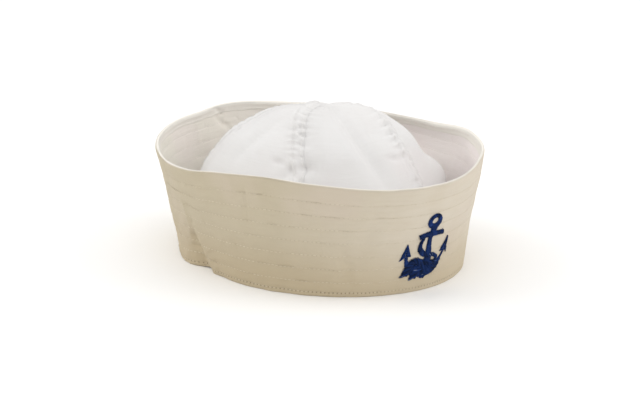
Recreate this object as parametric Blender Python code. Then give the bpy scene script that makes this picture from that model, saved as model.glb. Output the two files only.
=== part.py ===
"""Sailor cap: a domed crown of five lapped cloth gores, held at its foot by a tall turned-up brim.

Metres, +Z up, front towards -Y. The cap rests on the foot of its brim, at z = 0. An azimuth is in
degrees from the front, growing towards +X, and a height share runs from the foot (0) to the top (1).
"""

import math
from typing import NamedTuple

import bmesh
import bpy
import numpy as np
from mathutils import Matrix, Vector
from mathutils.geometry import delaunay_2d_cdt

# Head opening and brim
FOOT_HALF_LENGTH = 0.1060  # outer half length of the foot's oval, front to back
FOOT_HALF_WIDTH = 0.0880  # outer half width of the foot's oval
BRIM_HEIGHT = 0.0765  # foot to rim, upright
BRIM_FLARE = 0.0150  # how far the rim stands out from the foot
FLARE_BEND = 1.15  # at 1 the wall is straight, above 1 it starts out steeper
CURL_HEIGHT = 0.80  # share of the brim's height over which its rim curls in
CURL_SPREAD = 0.14
BRIM_WALL = 0.0022  # the two stitched plies
HEM_WIDTH = 0.0060  # turned edge inside the rim
HEM_RISE = 0.0005  # how far that edge stands in from the wall
FOOT_FOLD = 0.0010  # cloth turned under the crown
TURN_HEIGHT = 0.0070  # the same cloth, turned up inside the crown
TURN_WALL = 0.0010
FOOT_ROUND = 0.0009  # rounding of the foot's outer corner

# Crown
CLOTH = 0.0010  # one ply of the crown's twill
CROWN_HEIGHT = 0.1040  # outside, from the floor
GORES = 5
FIRST_SEAM = -60.0  # the first crown seam, in degrees round the oval
SEAM_LAP = 0.0070  # width of a felled seam
SEAM_STEP = 0.0014  # width over which a gore climbs onto the next
GORE_PUFF = 0.0016  # how far a gore swells between its seams
CROWN_LEAN = 0.0220  # how far the top has slumped sideways
LEAN_AZIMUTH = 132.0
SLUMP_START = 0.5  # height share above which the crown leans and slumps
SLUMP = 0.21  # slope of the top where it sinks away towards the back
SLUMP_AZIMUTH = 138.0
SLUMP_EASE = 0.0080  # length over which that slope begins
TIP_RADIUS = 0.0011  # pinhole where the gores meet
TOP_SHARE = 0.4  # dents fade out within this share of the foot's radius round the top
SIDE_SHARE = 0.5  # outside this share of the radius they push straight inwards
LAP_SHARE = 0.14  # a lap's half, its step and its gap, at most, as shares of a gore's width
STEP_SHARE = 0.07
GAP_SHARE = 0.04

# Emblem
EMBLEM_HEIGHT = 0.0490  # along the slope of the brim
EMBLEM_AZIMUTH = -4.0
EMBLEM_FOOT = 0.0078  # its lowest stitch above the cap's foot, along the slope
EMBLEM_RELIEF = 0.0009  # thickness of the satin stitching

GAP = 0.0003  # between pieces that touch
TURN_GAP = 0.0008  # between the crown and the cloth turned up inside it, whose facets differ

# Fineness of the solids
BRIM_STATIONS = 90
BRIM_ROWS = 8
GORE_COLUMNS = 12
GORE_ROWS = 17
CREASE_DETAIL = 8.0  # how much closer together the facets lie at a crease
EMBLEM_STRIP = 0.0033  # widest facet of the emblem round the brim


class RimRow(NamedTuple):
    """One place on the rim: shares of BRIM_FLARE, BRIM_HEIGHT and BRIM_FLARE again."""

    azimuth: float
    flare: float
    lift: float
    curl: float


class Crease(NamedTuple):
    """A dent in the brim's wall that runs up it. Depths are shares of BRIM_FLARE, inwards."""

    azimuth: float
    lean: float  # degrees that it drifts over the brim's height
    spread: float  # half its width, in degrees
    foot_depth: float
    rim_depth: float
    foot_lift: float  # share of BRIM_FLARE that the foot rises off the floor


class Dent(NamedTuple):
    """A hollow in the crown, or a swelling where the depth is negative. Depth is a share of CROWN_HEIGHT."""

    azimuth: float
    height: float
    spread: float  # half its width, in degrees
    tall: float  # half its height, a share of CROWN_HEIGHT
    depth: float


class ProfileRow(NamedTuple):
    """One place up the crown: shares of the crown's foot radius and of its height."""

    radius: float
    height: float


RIM = (
    RimRow(azimuth=-163, flare=0.98, lift=0.000, curl=0.00),
    RimRow(azimuth=-136, flare=1.04, lift=-0.035, curl=0.00),
    RimRow(azimuth=-116, flare=1.10, lift=-0.060, curl=0.00),
    RimRow(azimuth=-98, flare=1.08, lift=-0.040, curl=0.00),
    RimRow(azimuth=-84, flare=0.98, lift=0.000, curl=0.00),
    RimRow(azimuth=-62, flare=0.90, lift=0.034, curl=0.00),
    RimRow(azimuth=-42, flare=0.94, lift=0.008, curl=0.00),
    RimRow(azimuth=-20, flare=1.00, lift=-0.036, curl=0.00),
    RimRow(azimuth=2, flare=0.98, lift=-0.042, curl=0.00),
    RimRow(azimuth=26, flare=0.88, lift=-0.005, curl=0.05),
    RimRow(azimuth=46, flare=0.90, lift=0.012, curl=-0.05),
    RimRow(azimuth=60, flare=0.88, lift=0.050, curl=0.05),
    RimRow(azimuth=84, flare=0.95, lift=0.000, curl=0.15),
    RimRow(azimuth=112, flare=1.00, lift=0.000, curl=0.22),
    RimRow(azimuth=146, flare=1.00, lift=0.018, curl=0.08),
    RimRow(azimuth=170, flare=1.04, lift=0.044, curl=0.00),
)

CREASES = (
    Crease(azimuth=-105, lean=-12, spread=5, foot_depth=0.34, rim_depth=0.0, foot_lift=0.03),
    Crease(azimuth=-95, lean=-6, spread=13, foot_depth=0.22, rim_depth=0.0, foot_lift=0.0),
    Crease(azimuth=-119, lean=-4, spread=9, foot_depth=-0.10, rim_depth=0.0, foot_lift=0.0),
    Crease(azimuth=179, lean=5, spread=7, foot_depth=0.0, rim_depth=0.22, foot_lift=0.0),
)

PROFILE = (
    ProfileRow(radius=1.000, height=0.00),
    ProfileRow(radius=0.985, height=0.12),
    ProfileRow(radius=0.945, height=0.27),
    ProfileRow(radius=0.890, height=0.42),
    ProfileRow(radius=0.835, height=0.55),
    ProfileRow(radius=0.735, height=0.70),
    ProfileRow(radius=0.650, height=0.80),
    ProfileRow(radius=0.540, height=0.885),
    ProfileRow(radius=0.430, height=0.945),
    ProfileRow(radius=0.285, height=0.985),
    ProfileRow(radius=0.135, height=0.990),
    ProfileRow(radius=0.000, height=0.975),
)

DENTS = (
    Dent(azimuth=-135, height=0.55, spread=40, tall=0.25, depth=-0.016),
    Dent(azimuth=52, height=0.52, spread=16, tall=0.12, depth=-0.058),
    Dent(azimuth=60, height=0.82, spread=25, tall=0.12, depth=0.024),
    Dent(azimuth=-57, height=0.66, spread=8, tall=0.05, depth=0.028),
    Dent(azimuth=-145, height=0.90, spread=32, tall=0.09, depth=0.030),
    Dent(azimuth=-14, height=0.72, spread=20, tall=0.10, depth=0.012),
    Dent(azimuth=125, height=0.86, spread=24, tall=0.12, depth=0.020),
    Dent(azimuth=190, height=0.70, spread=26, tall=0.12, depth=0.016),
)


class PenPoint(NamedTuple):
    """A place on a stitched line: shares of EMBLEM_HEIGHT, from the anchor's foot and middle."""

    x: float
    y: float
    width: float


class Ring(NamedTuple):
    """The anchor's ring, as shares of EMBLEM_HEIGHT."""

    x: float
    y: float
    across: float
    tall: float
    width: float


RING = Ring(x=0.095, y=0.87, across=0.16, tall=0.19, width=0.06)

SHANK = (
    PenPoint(x=RING.x, y=RING.y - 0.37 * RING.tall, width=0.08),
    PenPoint(x=0.05, y=0.62, width=0.10),
    PenPoint(x=0.04, y=0.42, width=0.10),
    PenPoint(x=0.02, y=0.20, width=0.10),
    PenPoint(x=-0.03, y=0.05, width=0.09),
)

STOCK = (
    PenPoint(x=-0.14, y=0.65, width=0.09),
    PenPoint(x=0.06, y=0.68, width=0.10),
    PenPoint(x=0.27, y=0.68, width=0.08),
)

ARMS = (
    PenPoint(x=-0.30, y=0.38, width=0.06),
    PenPoint(x=-0.28, y=0.23, width=0.09),
    PenPoint(x=-0.20, y=0.10, width=0.12),
    PenPoint(x=-0.07, y=0.05, width=0.13),
    PenPoint(x=0.06, y=0.07, width=0.12),
    PenPoint(x=0.18, y=0.15, width=0.10),
    PenPoint(x=0.28, y=0.26, width=0.07),
    PenPoint(x=0.33, y=0.38, width=0.05),
)

ROPE = (
    PenPoint(x=-0.11, y=0.63, width=0.06),
    PenPoint(x=-0.13, y=0.52, width=0.07),
    PenPoint(x=-0.07, y=0.41, width=0.08),
    PenPoint(x=0.05, y=0.36, width=0.07),
    PenPoint(x=0.16, y=0.36, width=0.06),
    PenPoint(x=0.24, y=0.30, width=0.05),
    PenPoint(x=0.19, y=0.22, width=0.05),
    PenPoint(x=0.06, y=0.25, width=0.07),
    PenPoint(x=-0.08, y=0.30, width=0.08),
    PenPoint(x=-0.17, y=0.30, width=0.08),
    PenPoint(x=-0.24, y=0.23, width=0.09),
    PenPoint(x=-0.28, y=0.14, width=0.10),
    PenPoint(x=-0.31, y=0.07, width=0.12),
)

STROKES = (SHANK, STOCK, ARMS, ROPE)

FLUKES = (
    ((-0.29, 0.58), (-0.40, 0.31), (-0.31, 0.37), (-0.21, 0.36)),
    ((0.38, 0.58), (0.25, 0.33), (0.33, 0.37), (0.42, 0.31)),
)


def direction(azimuth):
    """Unit vectors in plan for azimuths in degrees."""
    a = np.radians(azimuth)
    return np.stack([np.sin(a), -np.cos(a), np.zeros_like(a)], axis=-1)


def round_table(rows, column, azimuth):
    """A column of an azimuth table, as a smooth closed curve through its rows."""
    at = np.array([row.azimuth for row in rows], float)
    value = np.array([getattr(row, column) for row in rows], float)
    at = np.concatenate([at[-2:] - 360, at, at[:2] + 360])
    value = np.concatenate([value[-2:], value, value[:2]])
    slope = (value[2:] - value[:-2]) / (at[2:] - at[:-2])
    at, value = at[1:-1], value[1:-1]
    azimuth = (np.asarray(azimuth, float) - at[0]) % 360 + at[0]
    k = np.clip(np.searchsorted(at, azimuth, side="right") - 1, 0, len(at) - 2)
    width = at[k + 1] - at[k]
    t = (azimuth - at[k]) / width
    return (
        (1 + 2 * t) * (1 - t) ** 2 * value[k]
        + t * (1 - t) ** 2 * width * slope[k]
        + t * t * (3 - 2 * t) * value[k + 1]
        + t * t * (t - 1) * width * slope[k + 1]
    )


def turned(azimuth, centre):
    """How far an azimuth lies from a centre, from -180 to 180 degrees."""
    return (np.asarray(azimuth, float) - centre + 180) % 360 - 180


def hump(distance, spread):
    """1 at no distance, falling smoothly to nothing."""
    return np.exp(-((distance / spread) ** 2))


def oval(half_length, half_width, azimuth):
    """Radius of an oval whose long axis runs front to back."""
    a = np.radians(azimuth)
    across, along = half_length * np.sin(a), half_width * np.cos(a)
    return half_length * half_width / np.hypot(along, across)


def oval_angle(azimuth):
    """An azimuth as the oval's own angle, which runs evenly round its edge."""
    a = np.radians(azimuth)
    return np.degrees(np.arctan2(np.sin(a) * FOOT_HALF_LENGTH, np.cos(a) * FOOT_HALF_WIDTH))


def azimuth_of(angle):
    """The azimuth at the oval's own angle."""
    a = np.radians(angle)
    return np.degrees(np.arctan2(np.sin(a) * FOOT_HALF_WIDTH, np.cos(a) * FOOT_HALF_LENGTH))


def crease_depth(azimuth, share):
    """How far the creases push the wall in, at a share of the brim's height."""
    low = np.clip(1 - share, 0, 1) ** 1.6
    high = np.clip(share, 0, 1) ** 2.5
    depth = 0.0
    for c in CREASES:
        near = hump(turned(azimuth, c.azimuth + c.lean * share), c.spread)
        depth = depth + near * (c.foot_depth * low + c.rim_depth * high)
    return BRIM_FLARE * depth


def places(start, end, count):
    """Angles round the oval from start to end, closer together at the creases."""
    angle = np.linspace(start, end, 720)
    wanted = 1.0
    for c in CREASES:
        near = hump(turned(azimuth_of(angle), c.azimuth + 0.5 * c.lean), 1.5 * c.spread)
        wanted = wanted + CREASE_DETAIL * abs(c.foot_depth) * near
    total = np.concatenate([[0], np.cumsum((wanted[1:] + wanted[:-1]) / 2)])
    return np.interp(np.linspace(0, total[-1], count), total, angle)


def foot_lift(azimuth):
    """How far the foot rises off the floor at a crease."""
    return BRIM_FLARE * sum(c.foot_lift * hump(turned(azimuth, c.azimuth), c.spread) for c in CREASES)


def brim_face(azimuth, share):
    """Points of the brim's outer face."""
    azimuth, share = np.broadcast_arrays(np.asarray(azimuth, float), np.asarray(share, float))
    flare = BRIM_FLARE * round_table(RIM, "flare", azimuth)
    curl = BRIM_FLARE * round_table(RIM, "curl", azimuth)
    radius = oval(FOOT_HALF_LENGTH, FOOT_HALF_WIDTH, azimuth) + flare * np.clip(share, 0, None) ** FLARE_BEND
    over = np.clip((share - CURL_HEIGHT) / (1 - CURL_HEIGHT), 0, 1)
    radius = radius + curl * (hump(share - CURL_HEIGHT, CURL_SPREAD) - 1.3 * over**2)
    radius = radius - crease_depth(azimuth, share)
    height = BRIM_HEIGHT * share * (1 + round_table(RIM, "lift", azimuth) * share)
    height = height + foot_lift(azimuth) * (1 - np.clip(share, 0, 1))
    point = direction(azimuth) * radius[..., None]
    point[..., 2] = height
    return point


def normals(surface, azimuth, share):
    """Outward unit normals of a surface given as a function of azimuth and share."""
    a, s = 0.05, 0.002
    round_it = surface(azimuth + a, share) - surface(azimuth - a, share)
    up_it = surface(azimuth, np.asarray(share) + s) - surface(azimuth, np.asarray(share) - s)
    n = np.cross(round_it, up_it)
    return n / np.linalg.norm(n, axis=-1, keepdims=True)


def brim_point(azimuth, share, out):
    """Points at a distance out from the brim's outer face, or in where it is negative."""
    azimuth, share = np.broadcast_arrays(np.asarray(azimuth, float), np.asarray(share, float))
    return brim_face(azimuth, share) + normals(brim_face, azimuth, share) * np.asarray(out)[..., None]


def profile(along):
    """Radius and height shares of the crown at a place along its profile, from 0 at its foot to 1."""
    rows = np.array([(row.radius, row.height) for row in PROFILE])
    rows = np.vstack([2 * rows[0] - rows[1], rows, rows[-2] * (-1, 1)])
    place = np.clip(np.asarray(along, float), 0, 1) * (len(PROFILE) - 1)
    k = np.clip(place.astype(int), 0, len(PROFILE) - 2)
    t = (place - k)[..., None]
    a, b, c, d = (rows[k + n] for n in range(4))
    shape = b + 0.5 * t * (c - a + t * (2 * a - 5 * b + 4 * c - d + t * (3 * (b - c) + d - a)))
    return shape[..., 0], shape[..., 1]


def crown_face(azimuth, along):
    """Points of the crown's inner face."""
    azimuth, along = np.broadcast_arrays(np.asarray(azimuth, float), np.asarray(along, float))
    seat = BRIM_WALL + GAP + 2 * CLOTH + GAP
    foot, top = FOOT_FOLD + GAP, CROWN_HEIGHT - 2 * CLOTH - GAP
    narrowed, raised = profile(along)
    radius = oval(FOOT_HALF_LENGTH - seat, FOOT_HALF_WIDTH - seat, azimuth) * narrowed
    height = foot + (top - foot) * raised
    gore = turned(oval_angle(azimuth), FIRST_SEAM) / (360 / GORES)
    swell = GORE_PUFF * np.sin(math.pi * (gore % 1)) ** 2 * np.sin(math.pi * raised**1.5) ** 2
    push = crease_depth(azimuth, height / BRIM_HEIGHT)
    for d in DENTS:
        near = hump(turned(azimuth, d.azimuth), d.spread) * hump(raised - d.height, d.tall)
        push = push + CROWN_HEIGHT * d.depth * near
    push = push * np.clip(narrowed / TOP_SHARE, 0, 1) ** 2
    inwards = np.clip(narrowed / SIDE_SHARE, 0, 1) ** 0.5
    point = direction(azimuth) * ((radius + swell - push * inwards))[..., None]
    slack = np.clip((raised - SLUMP_START) / (1 - SLUMP_START), 0, 1)
    point = point + direction(np.array(LEAN_AZIMUTH)) * (CROWN_LEAN * slack**1.5)[..., None]
    behind = point @ direction(np.array(SLUMP_AZIMUTH)) / SLUMP_EASE
    sink = SLUMP * SLUMP_EASE * np.logaddexp(0, behind) * slack
    point[..., 2] = height + foot_lift(azimuth) * (1 - raised) ** 2 - push * (1 - inwards) - sink
    return point


def crown_point(azimuth, along, out):
    """Points at a distance out from the crown's inner face."""
    azimuth, along = np.broadcast_arrays(np.asarray(azimuth, float), np.asarray(along, float))
    return crown_face(azimuth, along) + normals(crown_face, azimuth, along) * np.asarray(out)[..., None]


def brim_section(azimuth):
    """One closed section of the brim, as a list of points round it at each azimuth."""
    lift = foot_lift(azimuth)
    ring = []

    def add(points, height=None):
        if height is not None:
            points[..., 2] = height + lift
        ring.append(points)

    add(brim_point(azimuth, 0, -FOOT_ROUND), 0)
    add(brim_point(azimuth, 0, -0.3 * FOOT_ROUND), 0.3 * FOOT_ROUND)
    for share in np.linspace(FOOT_ROUND / BRIM_HEIGHT, 1 - 0.5 * BRIM_WALL / BRIM_HEIGHT, BRIM_ROWS):
        add(brim_point(azimuth, share, 0))
    hem = HEM_WIDTH / BRIM_HEIGHT
    add(brim_point(azimuth, 1, -0.5 * BRIM_WALL))
    add(brim_point(azimuth, 1 - 0.5 * BRIM_WALL / BRIM_HEIGHT, -BRIM_WALL - HEM_RISE))
    add(brim_point(azimuth, 1 - hem, -BRIM_WALL - HEM_RISE))
    for share in np.linspace(1 - 1.1 * hem, TURN_HEIGHT / BRIM_HEIGHT, BRIM_ROWS - 2):
        add(brim_point(azimuth, share, -BRIM_WALL))
    add(brim_point(azimuth, FOOT_FOLD / BRIM_HEIGHT, -BRIM_WALL), FOOT_FOLD)
    turn = along_at_height(TURN_HEIGHT)
    outer, inner = -TURN_GAP, -TURN_GAP - TURN_WALL
    add(crown_point(azimuth, 0, outer), FOOT_FOLD)
    add(crown_point(azimuth, 0.5 * turn, outer))
    add(crown_point(azimuth, turn, outer))
    add(crown_point(azimuth, turn, inner))
    add(crown_point(azimuth, 0.5 * turn, inner))
    add(crown_point(azimuth, 0, inner), 0)
    return np.stack(ring)


def along_at_height(height):
    """Place along the crown's profile at a height over the floor."""
    along = np.linspace(0, 1, 400)
    return np.interp(height / CROWN_HEIGHT, profile(along)[1], along)


def along_at_radius(radius):
    """Place along the crown's profile, near its top, at a radius."""
    along = np.linspace(1, 0, 400)
    return np.interp(radius / FOOT_HALF_WIDTH, profile(along)[0], along)


def gore_grids(number):
    """Outer and inner faces of one crown gore, as rows of points from its foot to its tip."""
    pitch = 360 / GORES
    along = np.linspace(0, along_at_radius(TIP_RADIUS), GORE_ROWS)[:, None]
    mean_radius = 0.5 * (FOOT_HALF_LENGTH + FOOT_HALF_WIDTH) * profile(along)[0]
    per_metre = 180 / (math.pi * mean_radius)
    half_lap = np.minimum(0.5 * SEAM_LAP * per_metre, LAP_SHARE * pitch)
    step = np.minimum(SEAM_STEP * per_metre, STEP_SHARE * pitch)
    gap = np.minimum(GAP * per_metre, GAP_SHARE * pitch)
    start = FIRST_SEAM + pitch * number
    left, right = start + half_lap, start + pitch - half_lap - gap - step
    middle = left + (right - left) * (places(start, start + pitch, GORE_COLUMNS) - start) / pitch
    angle = np.hstack([start - half_lap, middle, right + step, start + pitch + half_lap])
    raised = np.hstack([np.zeros(GORE_COLUMNS + 1), (CLOTH + GAP) * np.ones(2)]) + 0 * along
    azimuth = azimuth_of(angle)
    return crown_point(azimuth, along, raised + CLOTH), crown_point(azimuth, along, raised)


def stroke(points, widths):
    """Outline of a line drawn with a pen whose width changes along it."""
    points, widths = np.array(points, float), np.array(widths, float)
    along = np.gradient(points, axis=0)
    along /= np.linalg.norm(along, axis=1, keepdims=True)
    side = np.stack([-along[:, 1], along[:, 0]], axis=1) * widths[:, None] / 2
    return np.vstack([points + side, (points - side)[::-1]])


def ring_faces(rows, columns):
    """Faces of a tube of points that closes both ways."""
    return [
        (
            r * columns + c,
            r * columns + (c + 1) % columns,
            (r + 1) % rows * columns + (c + 1) % columns,
            (r + 1) % rows * columns + c,
        )
        for r in range(rows)
        for c in range(columns)
    ]


def shell_faces(rows, columns):
    """Faces of two grids of points, the outer one first, and of the edges between them."""
    inner = rows * columns
    faces = []
    for r in range(rows - 1):
        for c in range(columns - 1):
            a = r * columns + c
            quad = (a, a + 1, a + columns + 1, a + columns)
            faces += [quad, tuple(inner + v for v in reversed(quad))]
    last = (rows - 1) * columns
    border = list(range(columns)) + [r * columns + columns - 1 for r in range(1, rows)]
    border += [last + c for c in range(columns - 2, -1, -1)] + [r * columns for r in range(rows - 2, 0, -1)]
    for a, b in zip(border, border[1:] + border[:1]):
        faces.append((b, a, inner + a, inner + b))
    return faces


def add_piece(name, points, faces, material):
    """One closed solid as a named object."""
    mesh = bpy.data.meshes.new(name)
    mesh.from_pydata(np.asarray(points).reshape(-1, 3).tolist(), [], faces)
    built = bmesh.new()
    built.from_mesh(mesh)
    bmesh.ops.triangulate(built, faces=built.faces)
    bmesh.ops.recalc_face_normals(built, faces=built.faces)
    built.to_mesh(mesh)
    built.free()
    mesh.materials.append(material)
    mesh.shade_smooth()
    mesh.set_sharp_from_angle(angle=math.radians(40))
    piece = bpy.data.objects.new(name, mesh)
    bpy.context.collection.objects.link(piece)
    return piece


def add_material(name, colour, roughness):
    material = bpy.data.materials.new(name)
    material.use_nodes = True
    shader = material.node_tree.nodes["Principled BSDF"]
    shader.inputs["Base Color"].default_value = (*colour, 1)
    shader.inputs["Roughness"].default_value = roughness
    shader.inputs["Metallic"].default_value = 0
    return material


def add_brim(material):
    section = brim_section(azimuth_of(places(-180, 180, BRIM_STATIONS + 1)[:-1]))
    rows, columns = section.shape[:2]
    return add_piece("brim", section, ring_faces(rows, columns), material)


def add_gore(number, material):
    outer, inner = gore_grids(number)
    rows, columns = outer.shape[:2]
    return add_piece(
        f"crown_gore_{number + 1}", np.stack([outer, inner]), shell_faces(rows, columns), material
    )


def smooth_line(points, steps):
    """A smooth line through points in the plane, with their widths as a third value."""
    p = np.array(points, float)
    p = np.vstack([2 * p[0] - p[1], p, 2 * p[-1] - p[-2]])
    line = []
    for k in range(1, len(p) - 2):
        t = np.linspace(0, 1, steps, endpoint=k == len(p) - 3)[:, None]
        a, b, c, d = p[k - 1 : k + 3]
        line.append(b + 0.5 * t * (c - a + t * (2 * a - 5 * b + 4 * c - d + t * (3 * (b - c) + d - a))))
    return np.vstack(line)


def turns_left(outline):
    """Whether an outline runs anticlockwise."""
    x, y = outline.T
    return np.sum(x * np.roll(y, -1) - y * np.roll(x, -1)) > 0


def emblem_outlines():
    """The shapes that overlap to make the anchor, as shares of its height."""
    outlines = []
    for half in (-1, 1):
        turn = np.radians(np.linspace(-10, 190, 9)) * half + math.pi / 2
        path = np.stack([np.sin(turn) * RING.across / 2, np.cos(turn) * RING.tall / 2], axis=1)
        path += (RING.x, RING.y)
        outlines.append(stroke(path, np.full(len(path), RING.width)))
    for line in STROKES:
        drawn = smooth_line([(p.x, p.y, p.width) for p in line], 3)
        outlines.append(stroke(drawn[:, :2], drawn[:, 2]))
    outlines += [np.array(shape, float) for shape in FLUKES]
    return [outline if turns_left(outline) else outline[::-1] for outline in outlines]


def add_emblem(material):
    """The satin-stitched anchor, as a thin raised solid that follows the brim."""
    points, edges, loops = [], [], []
    for outline in emblem_outlines():
        first = len(points)
        points += [tuple(p * EMBLEM_HEIGHT) for p in outline]
        loops.append(list(range(first, len(points))))
    reach = max(abs(p[0]) for p in points) + EMBLEM_STRIP
    for x in np.arange(-reach, reach, EMBLEM_STRIP):
        edges.append((len(points), len(points) + 1))
        points += [(x, -EMBLEM_STRIP), (x, EMBLEM_HEIGHT + EMBLEM_STRIP)]
    flat = delaunay_2d_cdt([Vector(p) for p in points], edges, loops, 0, 1e-7)
    inside = [face for face, owners in zip(flat[2], flat[5]) if owners]
    used = sorted({v for face in inside for v in face})
    place = {v: k for k, v in enumerate(used)}
    plan = np.array([flat[0][v] for v in used])
    share = (EMBLEM_FOOT + plan[:, 1]) / math.hypot(BRIM_HEIGHT, BRIM_FLARE)
    radius = np.linalg.norm(brim_face(EMBLEM_AZIMUTH, share)[:, :2], axis=1)
    azimuth = EMBLEM_AZIMUTH + np.degrees(plan[:, 0] / radius)
    outer = brim_point(azimuth, share, GAP + EMBLEM_RELIEF)
    inner = brim_point(azimuth, share, GAP)
    count = len(used)
    faces = []
    borders = {}
    for face in inside:
        top = tuple(place[v] for v in face)
        faces += [top, tuple(count + v for v in reversed(top))]
        for a, b in zip(top, top[1:] + top[:1]):
            if borders.pop((b, a), None) is None:
                borders[(a, b)] = True
    faces += [(b, a, count + a, count + b) for a, b in borders]
    return add_piece("anchor_emblem", np.stack([outer, inner]), faces, material)


def centre_in_plan(pieces):
    """Put the middle of the whole cap's box over the origin."""
    corners = np.array([vertex.co[:2] for piece in pieces for vertex in piece.data.vertices])
    middle = (corners.min(axis=0) + corners.max(axis=0)) / 2
    for piece in pieces:
        piece.data.transform(Matrix.Translation((-middle[0], -middle[1], 0)))


def build_cap():
    for old in list(bpy.data.objects):
        bpy.data.objects.remove(old, do_unlink=True)
    brim_cotton = add_material("brim_cotton", (0.74, 0.68, 0.56), 0.9)
    crown_cotton = add_material("crown_cotton", (0.82, 0.80, 0.77), 0.9)
    navy_thread = add_material("navy_thread", (0.012, 0.026, 0.065), 0.6)
    pieces = [add_brim(brim_cotton)]
    pieces += [add_gore(number, crown_cotton) for number in range(GORES)]
    pieces.append(add_emblem(navy_thread))
    centre_in_plan(pieces)


build_cap()
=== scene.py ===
"""Looks of a sailor cap: quilted brim, gored crown with puckered seams, and a satin-stitched anchor.

Metres, +Z up, front towards -Y. An azimuth is in degrees from the front, growing towards +X, and a
height share runs from the foot of a wall (0) to its top (1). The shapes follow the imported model.
"""

import logging
import math
from dataclasses import dataclass, field
from enum import Enum
from typing import Callable, NamedTuple, Sequence

import bpy
import numpy as np
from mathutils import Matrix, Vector


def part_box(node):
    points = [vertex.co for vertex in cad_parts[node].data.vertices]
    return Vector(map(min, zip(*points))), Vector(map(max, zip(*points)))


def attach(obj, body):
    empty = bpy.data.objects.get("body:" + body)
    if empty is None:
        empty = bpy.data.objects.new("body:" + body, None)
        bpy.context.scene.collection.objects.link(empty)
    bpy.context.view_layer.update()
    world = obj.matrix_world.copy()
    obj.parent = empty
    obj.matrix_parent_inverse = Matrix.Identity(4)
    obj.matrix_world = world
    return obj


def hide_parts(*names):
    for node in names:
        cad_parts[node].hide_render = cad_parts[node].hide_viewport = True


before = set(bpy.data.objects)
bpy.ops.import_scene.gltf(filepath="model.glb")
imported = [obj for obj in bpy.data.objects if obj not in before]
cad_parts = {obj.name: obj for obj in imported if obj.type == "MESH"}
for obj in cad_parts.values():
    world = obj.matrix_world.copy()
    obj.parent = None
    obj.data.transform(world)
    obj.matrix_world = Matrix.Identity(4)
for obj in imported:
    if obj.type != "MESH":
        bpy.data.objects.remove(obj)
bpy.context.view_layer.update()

log = logging.getLogger("sailor_cap")
PLACE = "cloth_place"  # where a point lies on its cloth: along the rows, up the cloth, and which side
TONE = "thread_tone"  # how light a stitch is
Triple = tuple[float, float, float]
Colour = Triple
Array = np.ndarray
Piece = bpy.types.Object
Finish = bpy.types.Material


class Side(Enum):
    """Which way a face of cloth looks; the third value of its place."""

    OUTSIDE = 0.0
    INSIDE = 1.0


class RimRow(NamedTuple):
    """One place on the rim: shares of the flare, the brim's height and the flare again."""

    azimuth: float
    flare: float
    lift: float
    curl: float


class Crease(NamedTuple):
    """A dent that runs up the brim's wall. Depths are shares of the flare, inwards."""

    azimuth: float
    lean: float
    spread: float
    foot_depth: float
    rim_depth: float
    foot_lift: float


class Dent(NamedTuple):
    """A hollow in the crown; its depth is a share of the crown's height."""

    azimuth: float
    height: float
    spread: float
    tall: float
    depth: float


class ProfileRow(NamedTuple):
    """One place up the crown: shares of its foot radius and of its height."""

    radius: float
    height: float


class Fold(NamedTuple):
    """A narrow fold in the brim from a low place to a high one; its height in metres is outwards."""

    azimuth: float
    share: float
    top_azimuth: float
    top_share: float
    half_width: float
    height: float


class Pinch(NamedTuple):
    """A small tuck in the crown: its place, half its extent each way and its depth in metres."""

    azimuth: float
    along: float
    spread: float
    tall: float
    slope: float  # how far it drops for each degree round
    depth: float


class PenPoint(NamedTuple):
    """A place on a stitched line: shares of the emblem's height, from its foot and middle."""

    x: float
    y: float
    width: float


class Ring(NamedTuple):
    """The anchor's ring, as shares of the emblem's height."""

    x: float
    y: float
    across: float
    tall: float
    width: float


class Cloud(NamedTuple):
    """A cloudy pattern: clouds to a metre, finer layers, and how much closer it is along each axis."""

    scale: float
    detail: float
    stretch: Triple = (1.0, 1.0, 1.0)


class Lamp(NamedTuple):
    """A square lamp that faces the cap, with its direction in degrees, its watts and its side in metres."""

    name: str
    azimuth: float
    elevation: float
    power: float
    size: float
    colour: Colour


def rows_of(kind: Callable[..., tuple], *rows: Sequence[object]) -> tuple[tuple, ...]:
    """A table with named columns."""
    return tuple(kind(*row) for row in rows)


RIM = rows_of(
    RimRow,
    (-163, 0.98, 0.000, 0.00),
    (-136, 1.04, -0.035, 0.00),
    (-116, 1.10, -0.060, 0.00),
    (-98, 1.08, -0.040, 0.00),
    (-84, 0.98, 0.000, 0.00),
    (-62, 0.90, 0.034, 0.00),
    (-42, 0.94, 0.008, 0.00),
    (-20, 1.00, -0.036, 0.00),
    (2, 0.98, -0.042, 0.00),
    (26, 0.88, -0.005, 0.05),
    (46, 0.90, 0.012, -0.05),
    (60, 0.88, 0.050, 0.05),
    (84, 0.95, 0.000, 0.15),
    (112, 1.00, 0.000, 0.22),
    (146, 1.00, 0.018, 0.08),
    (170, 1.04, 0.044, 0.00),
)

CREASES = rows_of(
    Crease,
    (-105, -12, 5, 0.34, 0.0, 0.03),
    (-95, -6, 13, 0.22, 0.0, 0.0),
    (-119, -4, 9, -0.10, 0.0, 0.0),
    (179, 5, 7, 0.0, 0.22, 0.0),
)

PROFILE = rows_of(
    ProfileRow,
    (1.000, 0.00),
    (0.985, 0.12),
    (0.945, 0.27),
    (0.890, 0.42),
    (0.835, 0.55),
    (0.735, 0.70),
    (0.650, 0.80),
    (0.540, 0.885),
    (0.430, 0.945),
    (0.285, 0.985),
    (0.135, 0.990),
    (0.000, 0.975),
)

DENTS = rows_of(
    Dent,
    (-135, 0.55, 40, 0.25, -0.016),
    (52, 0.52, 16, 0.12, -0.058),
    (60, 0.82, 25, 0.12, 0.024),
    (-57, 0.66, 8, 0.05, 0.028),
    (-145, 0.90, 32, 0.09, 0.030),
    (-14, 0.72, 20, 0.10, 0.012),
    (125, 0.86, 24, 0.12, 0.020),
    (190, 0.70, 26, 0.12, 0.016),
)

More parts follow.
